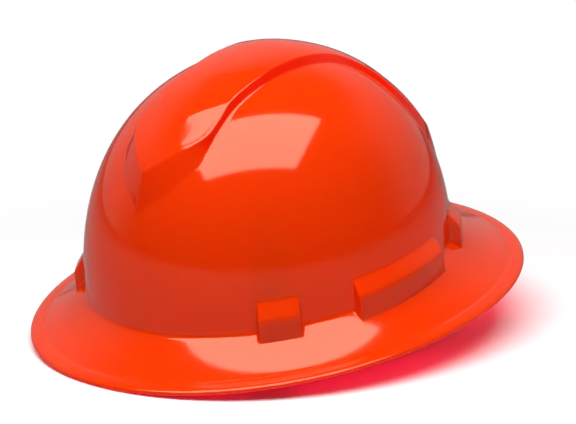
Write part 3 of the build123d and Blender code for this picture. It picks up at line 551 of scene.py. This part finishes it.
def newMaterial(name, colour, roughness, inputs=()):
    material = bpy.data.materials.new(name)
    material.use_nodes = True
    tree = material.node_tree
    shader = tree.nodes["Principled BSDF"]
    for socket, value in {"Base Color": (*colour, 1), "Roughness": roughness, **dict(inputs)}.items():
        connect(tree, value, shader.inputs[socket])
    return material, tree, shader


def addNoise(tree, scale, detail):
    place = addNode(tree, "TexCoord").outputs["Object"]
    return addNode(tree, "TexNoise", {"Scale": scale, "Detail": detail, "Vector": place})


def addBump(tree, shader, height, strength, distance):
    bump = addNode(tree, "Bump", {"Strength": strength, "Distance": distance, "Height": height})
    connect(tree, bump, shader.inputs["Normal"])
    return bump


def glossBetween(tree, shader, source, low, high):
    remap = addNode(tree, "MapRange", {"To Min": low, "To Max": high, "Value": source})
    connect(tree, remap, shader.inputs["Roughness"])


def blendColour(tree, shader, factor, first, second):
    colours = {"A": (*first, 1), "B": (*second, 1), "Factor": factor}
    connect(tree, addNode(tree, "Mix", colours, data_type="RGBA"), shader.inputs["Base Color"])


def dotProduct(tree, first, second):
    return addNode(tree, "VectorMath", {0: first, 1: second}, operation="DOT_PRODUCT")


def smoothRange(tree, source, start, end, top=1.0):
    places = {"From Min": start, "From Max": end, "To Max": top, "Value": source}
    return addNode(tree, "MapRange", places, interpolation_type="SMOOTHSTEP")


shellFinish = {
    "orange": (0.93, 0.042, 0.0005), "wallShadeOrange": (0.84, 0.012, 0.0005), "roughness": (0.07, 0.11),
    # rimGlow sets the painted glow, a red emission on the shell just above its rim.
    "waves": (26.0, 0.03), "rimGlow": (0.0003, -0.0009, 0.55),  # from and to this far above the rim, strength
    "inputs": {"Specular IOR Level": 0.5, "Specular Tint": (1.0, 0.96, 0.68, 1), "Subsurface Weight": 0.35,
               "Subsurface Radius": (1.0, 0.12, 0.02), "Subsurface Scale": 0.006,
               "Emission Color": (1.0, 0.004, 0.03, 1)},
}
plasticFinish = {"grainDepth": 0.25, "cloud": 45.0, "cloudReach": 0.10, "bevel": 0.0005, "wornFrom": 0.99,
                 "wornTo": 0.80, "wornShare": 0.55, "wornPaler": 2.6}
clothFinish = {"crossShare": 0.45, "fibreShare": 0.9, "fibre": 3200.0, "cloud": 70.0,
               "valleyShadeLevel": -1.1, "crestHighlightLevel": 1.9}


def orangePlastic():
    f = shellFinish
    material, tree, shader = newMaterial("glossOrange", f["orange"], 0.09, f["inputs"])
    # Painted shade: the ridge's side walls are blended to a darker, redder orange in place of the groove's shade.
    layer = addNode(tree, "Attribute", attribute_name="paintedWallShade")
    blendColour(tree, shader, layer.outputs["Fac"], f["orange"], f["wallShadeOrange"])
    addBump(tree, shader, addNoise(tree, f["waves"][0], 1.0), f["waves"][1], 0.0005)
    glossBetween(tree, shader, addNoise(tree, 9.0, 4.0), *f["roughness"])
    # Painted glow: a red emission at the rim's underside stands in for light carried along the translucent wall.
    height = dotProduct(tree, addNode(tree, "TexCoord").outputs["Object"], pitchMatrix[:, 2])
    rimLevel = float(hatOrigin @ pitchMatrix[:, 2]) / 1000
    start, end, strength = f["rimGlow"]
    low = smoothRange(tree, height, rimLevel + start, rimLevel + end, strength)
    connect(tree, low, shader.inputs["Emission Strength"])
    return material


def blackPlastic(name, colour, roughness, grain):
    # Moulded plastic: fine spark-eroded grain, cloudy gloss, and worn paler edges.
    f = plasticFinish
    material, tree, shader = newMaterial(name, colour, roughness)
    bump = addBump(tree, shader, addNoise(tree, grain, 4.0), f["grainDepth"], 0.0002)
    cloud = addNoise(tree, f["cloud"], 5.0)
    glossBetween(tree, shader, cloud, roughness - f["cloudReach"], roughness + f["cloudReach"])
    bevel = addNode(tree, "Bevel", {"Radius": f["bevel"]}, samples=4)
    edge = dotProduct(tree, bevel, addNode(tree, "NewGeometry").outputs["Normal"])
    worn = addNode(tree, "MapRange", {"From Min": f["wornFrom"], "From Max": f["wornTo"],
                                      "To Max": f["wornShare"], "Value": edge})
    blendColour(tree, shader, worn, colour, [min(channel * f["wornPaler"], 1) for channel in colour])
    connect(tree, bevel, bump.inputs["Normal"])
    return material


def steel(name):
    # Plated steel with fine turning marks and a slightly cloudy gloss.
    material, tree, shader = newMaterial(name, (0.56, 0.56, 0.55), 0.3, {"Metallic": 1.0})
    addBump(tree, shader, addNoise(tree, 2600.0, 2.0), 0.12, 0.0001)
    glossBetween(tree, shader, addNoise(tree, 160.0, 4.0), 0.20, 0.42)
    return material


def clothWave(tree, source, direction):  # sine of a plane wave over the cloth's own millimetres
    return addNode(tree, "Math", {0: dotProduct(tree, source, direction)}, operation="SINE")


def wovenCloth(name, dark, pale, roughness, pitch, fold, depth, sheen):
    # Threads run in a chevron twill that turns back every fold millimetres across the cloth,
    # crossed by finer threads. Valleys between threads get painted shade and crests a painted highlight, with
    # fibre noise over all.
    f = clothFinish
    sheenInputs = {"Sheen Weight": sheen, "Sheen Roughness": 0.45, "Specular IOR Level": 0.25}
    material, tree, shader = newMaterial(name, dark, roughness, sheenInputs)
    layer = addNode(tree, "Attribute", attribute_name="cloth")
    parts = addNode(tree, "SeparateXYZ", {0: layer.outputs["Vector"]})
    folded = addNode(tree, "Math", {0: parts.outputs["Y"], 1: fold}, operation="PINGPONG")
    joined = addNode(tree, "CombineXYZ", {"X": parts.outputs["X"], "Y": folded})
    turn = 2 * math.pi / pitch
    twill = clothWave(tree, joined, (turn, turn, 0))
    cross = clothWave(tree, joined, (turn * 0.9, -turn * 1.8, 0))
    both = addNode(tree, "Math", {0: cross, 1: f["crossShare"], 2: twill}, operation="MULTIPLY_ADD")
    fibre = addNoise(tree, f["fibre"], 3.0)
    height = addNode(tree, "Math", {0: fibre, 1: f["fibreShare"], 2: both}, operation="MULTIPLY_ADD")
    addBump(tree, shader, height, 0.6, depth)
    # Painted shade in the valleys and painted highlight on the crests, varied by a cloudy tone of the cloth.
    level = addNode(tree, "MapRange", {"From Min": f["valleyShadeLevel"], "From Max": f["crestHighlightLevel"], "Value": height})
    threadShadeAndCloud = addNode(tree, "Math", {0: level, 1: addNoise(tree, f["cloud"], 4.0)}, operation="MULTIPLY")
    blendColour(tree, shader, threadShadeAndCloud, dark, pale)
    return material


def thread(name, colour):
    # Sewing thread: plies show as a fine slanted bump, with uneven sheen.
    material, tree, shader = newMaterial(name, colour, 0.6, {"Sheen Weight": 0.3})
    plies = addNoise(tree, 2400.0, 1.0)
    addBump(tree, shader, plies, 0.5, 0.0002)
    glossBetween(tree, shader, plies, 0.45, 0.75)
    return material


# Dark and pale colours of the cloth: the pale one is the painted highlight on thread crests.
twillLook = ((0.016, 0.016, 0.018), (0.115, 0.115, 0.12), 0.72, 1.5, 5.0, 0.00025, 0.25)
knitLook = ((0.012, 0.012, 0.014), (0.095, 0.095, 0.10), 0.9, 0.9, 0.45, 0.00022, 0.5)
finishes = {
    "shell_plastic": orangePlastic(),
    "key_plastic": blackPlastic("keyBlack", (0.020, 0.020, 0.022), 0.42, 900.0),
    "band_plastic": blackPlastic("bandBlack", (0.024, 0.024, 0.026), 0.38, 700.0),
    "housing_plastic": blackPlastic("housingBlack", (0.020, 0.020, 0.022), 0.50, 1400.0),
    "knob_plastic": blackPlastic("knobCharcoal", (0.035, 0.035, 0.038), 0.46, 1400.0),
    "screw_steel": steel("screwSteel"),
    "webbing": wovenCloth("webbingTwill", *twillLook),
    "brow_cloth": wovenCloth("browKnit", *knitLook),
    "nape_cloth": wovenCloth("napeKnit", *knitLook),
}
threadFinish = thread("sewingThread", (0.17, 0.17, 0.175))
for part in frame["record"]["subparts"]:
    finish = finishes.get(part["material_slot"])
    node = frame["nodes"][part["node"]]
    if finish:
        node.data.materials.clear()
        node.data.materials.append(finish)

shell = makeShell()
cutPockets(shell)
shell.data.materials.append(finishes["shell_plastic"])
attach(shell, "shell_body")
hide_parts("shell")
print("stage: shell made")

# Webbing and pads

softSizes = {
    "strapHalfWidth": 10.0, "strapHalfThick": 0.55, "strapMiddle": 0.86, "strapRoundness": 2.2,
    "selvedge": (0.78, 0.12), "edgePower": 24, "waviness": 0.10, "waveLengths": (11.0, 4.7),
    "standHeight": 44.5, "crownRise": 70.4, "upperLift": 2.4, "endInset": 11.0, "slotRise": 14.0,
    "slotReach": 6.9, "bend": 1.9, "twistFrom": 12.0, "twistLength": 30.0, "stations": 420, "across": 27,
    "keyAngles": (-40.4, 42.5), "sewnBox": 8.0, "sewnBars": (16.0, 22.0), "barHalf": 8.5,
    "stitchLength": 2.2, "stitchRadius": 0.26, "stitchGap": 0.7, "stitchRise": 0.22, "stitchDip": 0.06,
    "corner": 4.5, "hemFade": 4.0, "channelHalf": 0.4, "channelFade": 3.0, "rimDraw": 0.25,
    "clothScale": 60.0, "freeFrom": 2.2, "hemInset": 2.2, "hemCorner": 2.5, "channelInset": 3.5,
}
padSizes = {
    # The brow pad lies on an ellipse round the front, the nape pad on a tilted circle at the rear.
    # Arc is the radius that turns its angles into millimetres along the cloth.
    "brow": {"centre": 20.0, "halfWidth": 79.0, "halfLength": 116.0, "arc": 104.0,
             "halfAngle": 89.4 - math.degrees(math.asin(42.0 / 116.0)), "middle": 6.0, "halfHeight": 13.0,
             "back": 0.35, "thick": 2.1, "hem": 1.0, "hemWidth": 3.4, "channels": (),
             "swell": 1.0, "pressure": 12.0, "along": 190, "up": 17},
    "nape": {"centre": 20.0, "rise": 4.0, "tilt": -17.2, "arc": 72.1,
             "halfAngle": 25.0, "middle": 0.0, "halfHeight": 14.5,
             "back": 0.05, "thick": 3.6, "hem": 1.3, "hemWidth": 3.4, "channels": (-4.6, 4.6),
             "swell": 1.6, "pressure": 60.0, "along": 47, "up": 23},
}


def clothLayer(piece, millimetres):  # the cloth's own coordinates, which its weave follows
    layer = piece.data.attributes.new("cloth", "FLOAT_VECTOR", "POINT")
    layer.data.foreach_set("vector", millimetres.ravel())


def strapPath(side, lift):
    # Middle line of one crown strap: out of the front key's slot, up, over the head in a
    # superellipse arch and down into the rear key's slot. Also the ends' sideways directions.
    g = softSizes
    keys = [keyFrame(angle, hand) for angle, hand in zip(g["keyAngles"], (side, -side))]
    ends = [foot[:2] - g["endInset"] * outward[:2] for foot, outward in keys]
    middle, half = (ends[0] + ends[1]) / 2, np.linalg.norm(ends[1] - ends[0]) / 2
    run = (ends[1] - ends[0]) / (2 * half)
    sideways = np.array([-run[1], run[0], 0.0])
    t = np.linspace(0, np.pi, 1200)
    share = signedPower(np.cos(t), 2 / g["strapRoundness"])
    rise = (g["crownRise"] + lift) * np.maximum(np.sin(t), 0.0) ** (2 / g["strapRoundness"])
    arch = np.concatenate([middle - half * share[:, None] * run, (g["standHeight"] + rise)[:, None]], 1)
    turn = np.linspace(0, np.pi / 2, 24)
    reach = np.concatenate([[g["slotReach"]], g["bend"] * (1 - np.sin(turn))])
    climb = np.concatenate([[0.0], g["bend"] * (1 - np.cos(turn))])
    bends, turned = [], []
    for end, (foot, outward) in zip(ends, keys):
        height = foot[2] + g["slotRise"] + climb
        bends.append(np.concatenate([end + outward[:2] * reach[:, None], height[:, None]], 1))
        tangent = np.array([-outward[1], outward[0], 0.0])
        turned.append(tangent * np.sign(tangent @ sideways))
    path = np.concatenate([bends[0], arch, bends[1][::-1]])
    return evenRows(path[None], g["stations"])[0], sideways, turned


def strapFrames(side, lift):
    # The strap's places, sideways and facing directions. Near its ends it turns to lie in the slots.
    g = softSizes
    places, sideways, turned = strapPath(side, lift)
    along = rowLengths(places[None])[0]
    across = sideways
    for distance, end in zip((along, along[-1] - along), turned):
        near = 1 - smoothStep((distance - g["twistFrom"]) / g["twistLength"])
        across = across + near[:, None] * (end - sideways)
    across = unitRows(across)
    facing = unitRows(np.cross(unitRows(np.gradient(places, axis=0)), across))
    facing *= np.sign(facing[len(facing) // 2, 2])
    return places, across, facing, along


def makeStrap(name, side, lift):
    # Woven ribbon: flat in the middle, a little thicker at the selvedges and round at the edges.
    g = softSizes
    places, across, facing, along = strapFrames(side, lift)
    spread = np.linspace(-1, 1, g["across"])
    spread = np.sin(spread * np.pi / 2) * 0.35 + spread * 0.65
    width = g["strapHalfWidth"] * spread
    thicker = smoothStep((np.abs(spread) - g["selvedge"][0]) / g["selvedge"][1])
    thick = g["strapHalfThick"] * (g["strapMiddle"] + (1 - g["strapMiddle"]) * thicker)
    thick = thick * np.sqrt(np.maximum(1 - np.abs(spread) ** g["edgePower"], 0.02))
    longWave, shortWave = g["waveLengths"]
    wave = g["waviness"] * np.sin(along / longWave + side) * np.sin(along / shortWave)
    middle = (places + facing * (wave * np.sin(np.pi * along / along[-1]))[:, None])[:, None]
    outline = np.concatenate([width, width[::-1]])[None, :, None]
    heights = np.concatenate([thick, -thick[::-1]])[None, :, None]
    ring = middle + across[:, None] * outline + facing[:, None] * heights
    count, around = ring.shape[:2]  # stations, points round the section
    faces = gridFaces(around, count).tolist()
    k = np.arange(g["across"] - 1)
    first = np.stack([k, k + 1, around - 2 - k, around - 1 - k], -1) * count
    faces += first.tolist() + (first[:, ::-1] + count - 1).tolist()
    strap = makeMesh(name, placeHat(ring.transpose(1, 0, 2).reshape(-1, 3)), faces)
    sheet = np.zeros((around, count, 3))
    sheet[..., 0] = along[None]
    sheet[..., 1] = outline[0]
    clothLayer(strap, sheet)
    return strap


def stitchCloth(name, lines, locate):
    # Evenly spaced stitches along lines of (along, across) millimetres, with 1 or -1 for the face
    # of the cloth. Locate gives the places and the outward normals of such points.
    g = softSizes
    found = []
    for line in lines:
        corners = np.array(line, float)
        length = rowLengths(corners[None])[0]
        count = int(length[-1] // (g["stitchLength"] + g["stitchGap"]))
        where = (np.arange(count) + 0.5) / count * length[-1]
        here, ahead = (np.stack([np.interp(where + step, length, column) for column in corners.T], -1)
                       for step in (0.0, 0.05))
        place, (beyond, normal) = locate(here)[0], locate(ahead)
        found.append((place, unitRows(beyond - place), normal))
    places, ahead, out = (np.concatenate(part)[:, None] for part in zip(*found))
    # Each stitch is a thin tube of thread that rises out of the cloth and dips back into it.
    along = np.linspace(-0.5, 0.5, 7)
    arch = g["stitchRise"] * np.cos(np.pi * along) ** 0.8 - g["stitchDip"]
    radius = g["stitchRadius"] * np.array([0.25, 0.8, 1.0, 1.0, 1.0, 0.8, 0.25])
    turn = np.linspace(0, 2 * np.pi, 7)[:-1]
    spine = ahead * (along * g["stitchLength"])[:, None] + out * arch[:, None]
    ring = np.cross(out, ahead) * np.cos(turn)[:, None] + out * np.sin(turn)[:, None]
    tubes = places[:, None] + spine[:, None] + ring[:, :, None] * radius[:, None]
    sides, rows = len(turn), len(along)
    offsets = (np.arange(len(places)) * sides * rows)[:, None]
    faces = (gridFaces(sides, rows)[None] + offsets[:, None]).reshape(-1, 4).tolist()
    for end in (np.arange(0, sides * rows, rows), np.arange(rows - 1, sides * rows, rows)[::-1]):
        faces += (end[None] + offsets).tolist()
    return makeMesh(name, placeHat(tubes.reshape(-1, 3)), faces)


def stitchStrap(name, side, lift):
    # A crossed box at the crown and two bars at each end, on both faces of the strap.
    g = softSizes
    places, across, facing, along = strapFrames(side, lift)
    middle, box, bar = along[-1] / 2, g["sewnBox"], g["barHalf"]
    corners = [(middle + x * box, y * box) for x, y in ((-1, -1), (1, -1), (1, 1), (-1, 1), (-1, -1))]
    lines = [corners, [corners[0], corners[2]], [corners[3], corners[1]]]
    lines += [[(end, -bar), (end, bar)] for place in g["sewnBars"] for end in (place, along[-1] - place)]

    def onStrap(where):
        base, wide, out = (np.stack([np.interp(where[:, 0], along, column) for column in table.T], -1)
                           for table in (places, across, facing))
        out = unitRows(out * where[:, 2:])
        return base + unitRows(wide) * where[:, 1:2] + out * (g["strapHalfThick"] * g["strapMiddle"]), out

    bothFaces = [[(*corner, face) for corner in line] for line in lines for face in (1.0, -1.0)]
    return stitchCloth(name, bothFaces, onStrap)


def browPlace(along, height, depth):  # along is in degrees from the front, depth goes inwards
    b = padSizes["brow"]
    turn = np.radians(along - 90.0)
    x = (b["halfWidth"] - depth) * np.cos(turn)
    y = b["centre"] + (b["halfLength"] - depth) * np.sin(turn)
    return np.stack([x, y, np.broadcast_to(height, x.shape)], -1)


def napePlace(along, height, depth):  # along is in degrees from the rear, depth goes inwards
    n = padSizes["nape"]
    turn, tilt = np.radians(90 + along), math.radians(n["tilt"])
    radius = n["arc"] - depth
    y = radius * np.sin(turn)
    return np.stack([radius * np.cos(turn), n["centre"] + y * math.cos(tilt) - height * math.sin(tilt),
                     n["rise"] + y * math.sin(tilt) + height * math.cos(tilt)], -1)


def padEnd(sizes):  # half of the pad's length in millimetres
    return np.radians(sizes["halfAngle"]) * sizes["arc"]


def makePad(name, sizes, place):
    # Closed pad of two layers with rounded corners, thin hems and thin rows where it is sewn.
    # Also gives how firmly each point is held while the padded layer swells.
    g = softSizes
    across, up, halfHeight, corner = sizes["along"], sizes["up"], sizes["halfHeight"], g["corner"]
    a, h = np.linspace(-1, 1, across)[:, None], np.linspace(-1, 1, up)[None, :]
    ends = padEnd(sizes)
    # Square grid drawn in at its corners to a rounded rectangle.
    lengthwise, upward = a * ends + 0 * h, h * halfHeight + 0 * a
    overA = np.maximum(np.abs(lengthwise) - (ends - corner), 0.0)
    overH = np.maximum(np.abs(upward) - (halfHeight - corner), 0.0)
    atCorner = (overA > 0) & (overH > 0)
    reach = np.sqrt(overA ** 2 + overH ** 2)
    pull = np.where(atCorner, np.maximum(overA, overH) / np.maximum(reach, 1e-6), 1.0)
    lengthwise = np.sign(lengthwise) * (np.abs(lengthwise) - overA * (1 - pull))
    upward = np.sign(upward) * (np.abs(upward) - overH * (1 - pull))
    border = np.minimum(ends - np.abs(lengthwise), halfHeight - np.abs(upward))
    border = np.minimum(border, corner - np.where(atCorner, reach * pull, 0.0))
    puff = smoothStep((border - sizes["hemWidth"]) / g["hemFade"])
    for channel in sizes["channels"]:
        puff = puff * smoothStep((np.abs(upward - channel) - g["channelHalf"]) / g["channelFade"])
    thick = sizes["hem"] + (sizes["thick"] - sizes["hem"]) * puff
    draw = g["rimDraw"] * (1 - smoothStep(border))
    degrees, height = lengthwise / ends * sizes["halfAngle"], sizes["middle"] + upward
    layers = [place(degrees, height, sizes["back"] + depth).reshape(-1, 3) for depth in (draw, thick - draw)]
    backFaces = gridFaces(across, up, 0, False)
    frontFaces = gridFaces(across, up, across * up, False)[:, ::-1]
    index = np.arange(across * up).reshape(across, up)
    loop = np.concatenate([index[:, 0], index[-1, 1:], index[-2::-1, -1], index[0, -2:0:-1]])
    nextLoop = np.roll(loop, -1)
    rimFaces = np.stack([loop, loop + across * up, nextLoop + across * up, nextLoop], -1)
    faces = np.concatenate([backFaces, frontFaces, rimFaces]).tolist()
    pad = makeMesh(name, placeHat(np.concatenate(layers)), faces)
    clothLayer(pad, np.stack([np.stack([lengthwise, upward, border], -1)] * 2))
    return pad, np.concatenate([np.ones(across * up), 1 - smoothStep(puff.ravel() * g["freeFrom"])])


def swellPad(pad, held, sizes):
    # Cloth simulation with inner pressure, then the swelling is limited to the cap in millimetres.
    # It runs on enlarged coordinates, because pressure hardly moves cells this small.
    group = pad.vertex_groups.new(name="held")
    held = np.round(held, 2)
    for level in np.unique(held[held > 0]):
        group.add(np.flatnonzero(held == level).tolist(), float(level), "REPLACE")
    cloth = pad.modifiers.new("swell", "CLOTH")
    settings = cloth.settings
    settings.vertex_group_mass = "held"
    settings.use_pressure = True
    settings.uniform_pressure_force = sizes["pressure"]
    settings.effector_weights.gravity = 0.0
    settings.quality = 6
    settings.mass = 0.3
    cloth.collision_settings.use_collision = False
    cloth.point_cache.frame_start, cloth.point_cache.frame_end = 1, 20
    scale = softSizes["clothScale"]
    start = np.zeros(len(pad.data.vertices) * 3)
    pad.data.vertices.foreach_get("co", start)
    start *= scale
    pad.data.vertices.foreach_set("co", start)
    pad.data.update()
    scene = bpy.context.scene
    for step in range(1, 21):
        scene.frame_set(step)
    shaped = pad.evaluated_get(bpy.context.evaluated_depsgraph_get())
    end = np.zeros(len(start))
    shaped.data.vertices.foreach_get("co", end)
    pad.modifiers.remove(cloth)
    scene.frame_set(1)
    start, end = start / scale, end / scale
    moved = (end - start).reshape(-1, 3)
    size = np.linalg.norm(moved, axis=1, keepdims=True)
    print(pad.name, "largest swelling in mm", round(float(size.max()) * 1000, 2))
    limit = sizes["swell"] / 1000
    moved *= np.minimum(1.0, limit * np.tanh(size / limit) / np.maximum(size, 1e-9))
    pad.data.vertices.foreach_set("co", (start.reshape(-1, 3) + moved).ravel())
    pad.data.update()
    smoother = pad.modifiers.new("soft", "SUBSURF")
    smoother.levels = smoother.render_levels = 1


def stitchPad(name, sizes, place):
    # Stitches along the channels and round a rounded rectangle a little inside the hem.
    g = softSizes
    end, corner = padEnd(sizes), g["hemCorner"]
    turn = np.linspace(0, np.pi / 2, 8)
    middle = np.array([end, sizes["halfHeight"]]) - g["hemInset"] - corner
    quarter = middle + corner * np.stack([np.cos(turn), np.sin(turn)], -1)
    hem = [quarter, (quarter * [-1, 1])[::-1], quarter * [-1, -1], (quarter * [1, -1])[::-1], quarter[:1]]
    tip = end - g["channelInset"]
    lines = [np.concatenate(hem)] + [[(-tip, channel), (tip, channel)] for channel in sizes["channels"]]
    depth = sizes["back"] + sizes["hem"]

    def onPad(where):
        degrees, height = where[:, 0] / end * sizes["halfAngle"], sizes["middle"] + where[:, 1]
        spots, deeper = (place(degrees, height, depth + more) for more in (0.0, 0.1))
        return spots, unitRows(deeper - spots)

    return stitchCloth(name, lines, onPad)


def dress(cloth, stitching, body, node, slot):  # finishes, body, slot and replaced node of a sewn piece
    cloth.data.materials.append(finishes[slot])
    stitching.data.materials.append(threadFinish)
    for piece in (cloth, stitching):
        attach(piece, body)
    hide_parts(node)


def makeSoftGoods():
    for name, side, lift in (("lower", 1.0, 0.0), ("upper", -1.0, softSizes["upperLift"])):
        strap = makeStrap(name + "Webbing", side, lift)
        stitching = stitchStrap(name + "WebbingStitching", side, lift)
        dress(strap, stitching, "shell_body", "crown_strap_" + name, "webbing")
    pads = (("brow", browPlace, "head_band_body", "sweatband"), ("nape", napePlace, "nape_body", "nape_pad"))
    for name, place, body, node in pads:
        sizes = padSizes[name]
        pad, held = makePad(name + "Pad", sizes, place)
        stitching = stitchPad(name + "PadStitching", sizes, place)
        swellPad(pad, held, sizes)
        dress(pad, stitching, body, node, name + "_cloth")


makeSoftGoods()
print("stage: soft goods made")

# Floor, light and camera

studio = {
    "floorRadius": 12.0, "floorColour": 0.975, "floorBounce": 0.34, "clearFrom": 0.20, "clearTo": 0.38,
    "skyStrength": 0.10, "skyShine": 0.03, "backdropShine": 0.38,
    "backdropAim": (-0.68, 0.73, 0.0), "backdropFade": (-0.15, 0.45), "horizonFade": (0.85, 0.55),
    "cameraPlace": (1.1817, -1.2640, 0.5309), "cameraBack": (0.6576, -0.7084, 0.2564), "lens": 181.7,
    "overheadBox": {"place": (0.37, -0.60, 1.73), "aim": (0.37, -0.60, 0.0), "size": (2.20, 1.33),
                    "turn": 46.0, "power": 51.0},
    "leftPanel": {"place": (-2.2, 0.6, 1.9), "aim": (0.0, 0.0, 0.1), "size": (2.6, 2.2), "power": 6.0},
    # A lamp inside and a ribbon under the rim stand for the light that the thin shell lets through.
    "throughGlow": {"place": (0.0, 0.01, 0.11), "aim": (0.0, 0.03, 0.0), "size": (0.11, 0.11), "power": 0.4,
                    "colour": (1.0, 0.01, 0.06)},
    "rimGlow": {"sides": 96, "edges": ((22.0, 5.0), (11.0, 3.0)), "strength": 1.3,
                "colour": (1.0, 0.0, 0.035)},
}


def makeFloor():
    # The floor keeps the hat's shadow. Away from the hat it turns to plain white for the camera.
    r, pale, bounce = studio["floorRadius"], [studio["floorColour"]] * 3, [studio["floorBounce"]] * 3
    corners = [(-r, -r, 0), (r, -r, 0), (r, r, 0), (-r, r, 0)]
    floor = makeMesh("studioFloor", corners, [(0, 1, 2, 3)], smooth=False, closed=False)
    material, tree, shader = newMaterial("paleFloor", pale, 0.6, {"Specular IOR Level": 0.1})
    place = addNode(tree, "TexCoord").outputs["Object"]
    length = addNode(tree, "VectorMath", {0: place}, operation="LENGTH")
    fade = smoothRange(tree, length, studio["clearFrom"], studio["clearTo"])
    forCamera = addNode(tree, "LightPath").outputs["Is Camera Ray"]
    seen = addNode(tree, "Math", {0: fade, 1: forCamera}, operation="MULTIPLY")
    blendColour(tree, shader, forCamera, bounce, pale)
    mix = addNode(tree, "MixShader", {"Fac": seen, 1: shader, 2: addNode(tree, "Emission")})
    connect(tree, mix, tree.nodes["Material Output"].inputs["Surface"])
    floor.data.materials.append(material)


def aimAt(holder, direction, turn=0.0):
    holder.rotation_mode = "QUATERNION"
    facing = Vector(direction).to_track_quat("-Z", "Y")
    holder.rotation_quaternion = Matrix.Rotation(math.radians(turn), 3, "Z").to_quaternion() @ facing


def makeLamp(name):
    settings = studio[name]
    lamp = bpy.data.lights.new(name, "AREA")
    lamp.shape = "RECTANGLE"
    lamp.size, lamp.size_y = settings["size"]
    lamp.energy = settings["power"]
    lamp.color = settings.get("colour", (1, 1, 1))
    holder = addObject(name, lamp)
    holder.location = settings["place"]
    aimAt(holder, Vector(settings["aim"]) - holder.location, settings.get("turn", 0.0))
    return holder


def makeWorld():
    # White for the camera. The hat is lit by a weak even sky, and its gloss shows a dim room
    # whose backdrop is paler near the horizon.
    world = bpy.data.worlds.new("studioWorld")
    bpy.context.scene.world = world
    world.use_nodes = True
    tree = world.node_tree
    background = tree.nodes["Background"]
    background.inputs["Color"].default_value = (1, 1, 1, 1)
    rays = addNode(tree, "LightPath").outputs
    view = addNode(tree, "TexCoord").outputs["Generated"]
    fades = ((studio["backdropAim"], studio["backdropFade"]), ((0.0, 0.0, 1.0), studio["horizonFade"]))
    towards, low = (smoothRange(tree, dotProduct(tree, view, aim), *fade) for aim, fade in fades)
    both = addNode(tree, "Math", {0: towards, 1: low}, operation="MULTIPLY")
    shines = {"To Min": studio["skyShine"], "To Max": studio["backdropShine"], "Value": both}
    glow = addNode(tree, "MapRange", shines)
    shine = addNode(tree, "Mix", {"A": studio["skyStrength"], "B": glow, "Factor": rays["Is Glossy Ray"]})
    strength = addNode(tree, "Mix", {"A": shine, "B": 1.0, "Factor": rays["Is Camera Ray"]})
    connect(tree, strength, background.inputs["Strength"])


def makeRimGlow():
    g = studio["rimGlow"]
    u = np.linspace(0, 2 * np.pi, g["sides"], endpoint=False)
    rows = [brimEdge(u, inset, height) for inset, height in g["edges"]]
    points = placeHat(np.stack(rows, 1).reshape(-1, 3))
    ribbon = makeMesh("rimGlow", points, gridFaces(g["sides"], 2).tolist(), closed=False)
    material, tree, _ = newMaterial("rimGlow", (0.0, 0.0, 0.0), 1.0)
    emission = addNode(tree, "Emission", {"Color": (*g["colour"], 1), "Strength": g["strength"]})
    connect(tree, emission, tree.nodes["Material Output"].inputs["Surface"])
    ribbon.data.materials.append(material)
    ribbon.visible_camera = ribbon.visible_glossy = ribbon.visible_shadow = False


def makeCamera():
    lens = bpy.data.cameras.new("photoCamera")
    lens.lens, lens.sensor_width, lens.clip_end = studio["lens"], 36.0, 60.0
    camera = addObject("photoCamera", lens)
    camera.location = studio["cameraPlace"]
    aimAt(camera, -Vector(studio["cameraBack"]))
    bpy.context.scene.camera = camera


makeFloor()
makeWorld()
makeLamp("overheadBox")
makeLamp("leftPanel").visible_glossy = False  # the gloss shows the backdrop instead
makeLamp("throughGlow")
makeRimGlow()
makeCamera()
bpy.context.scene.view_settings.view_transform = "Standard"
print("stage: studio set")
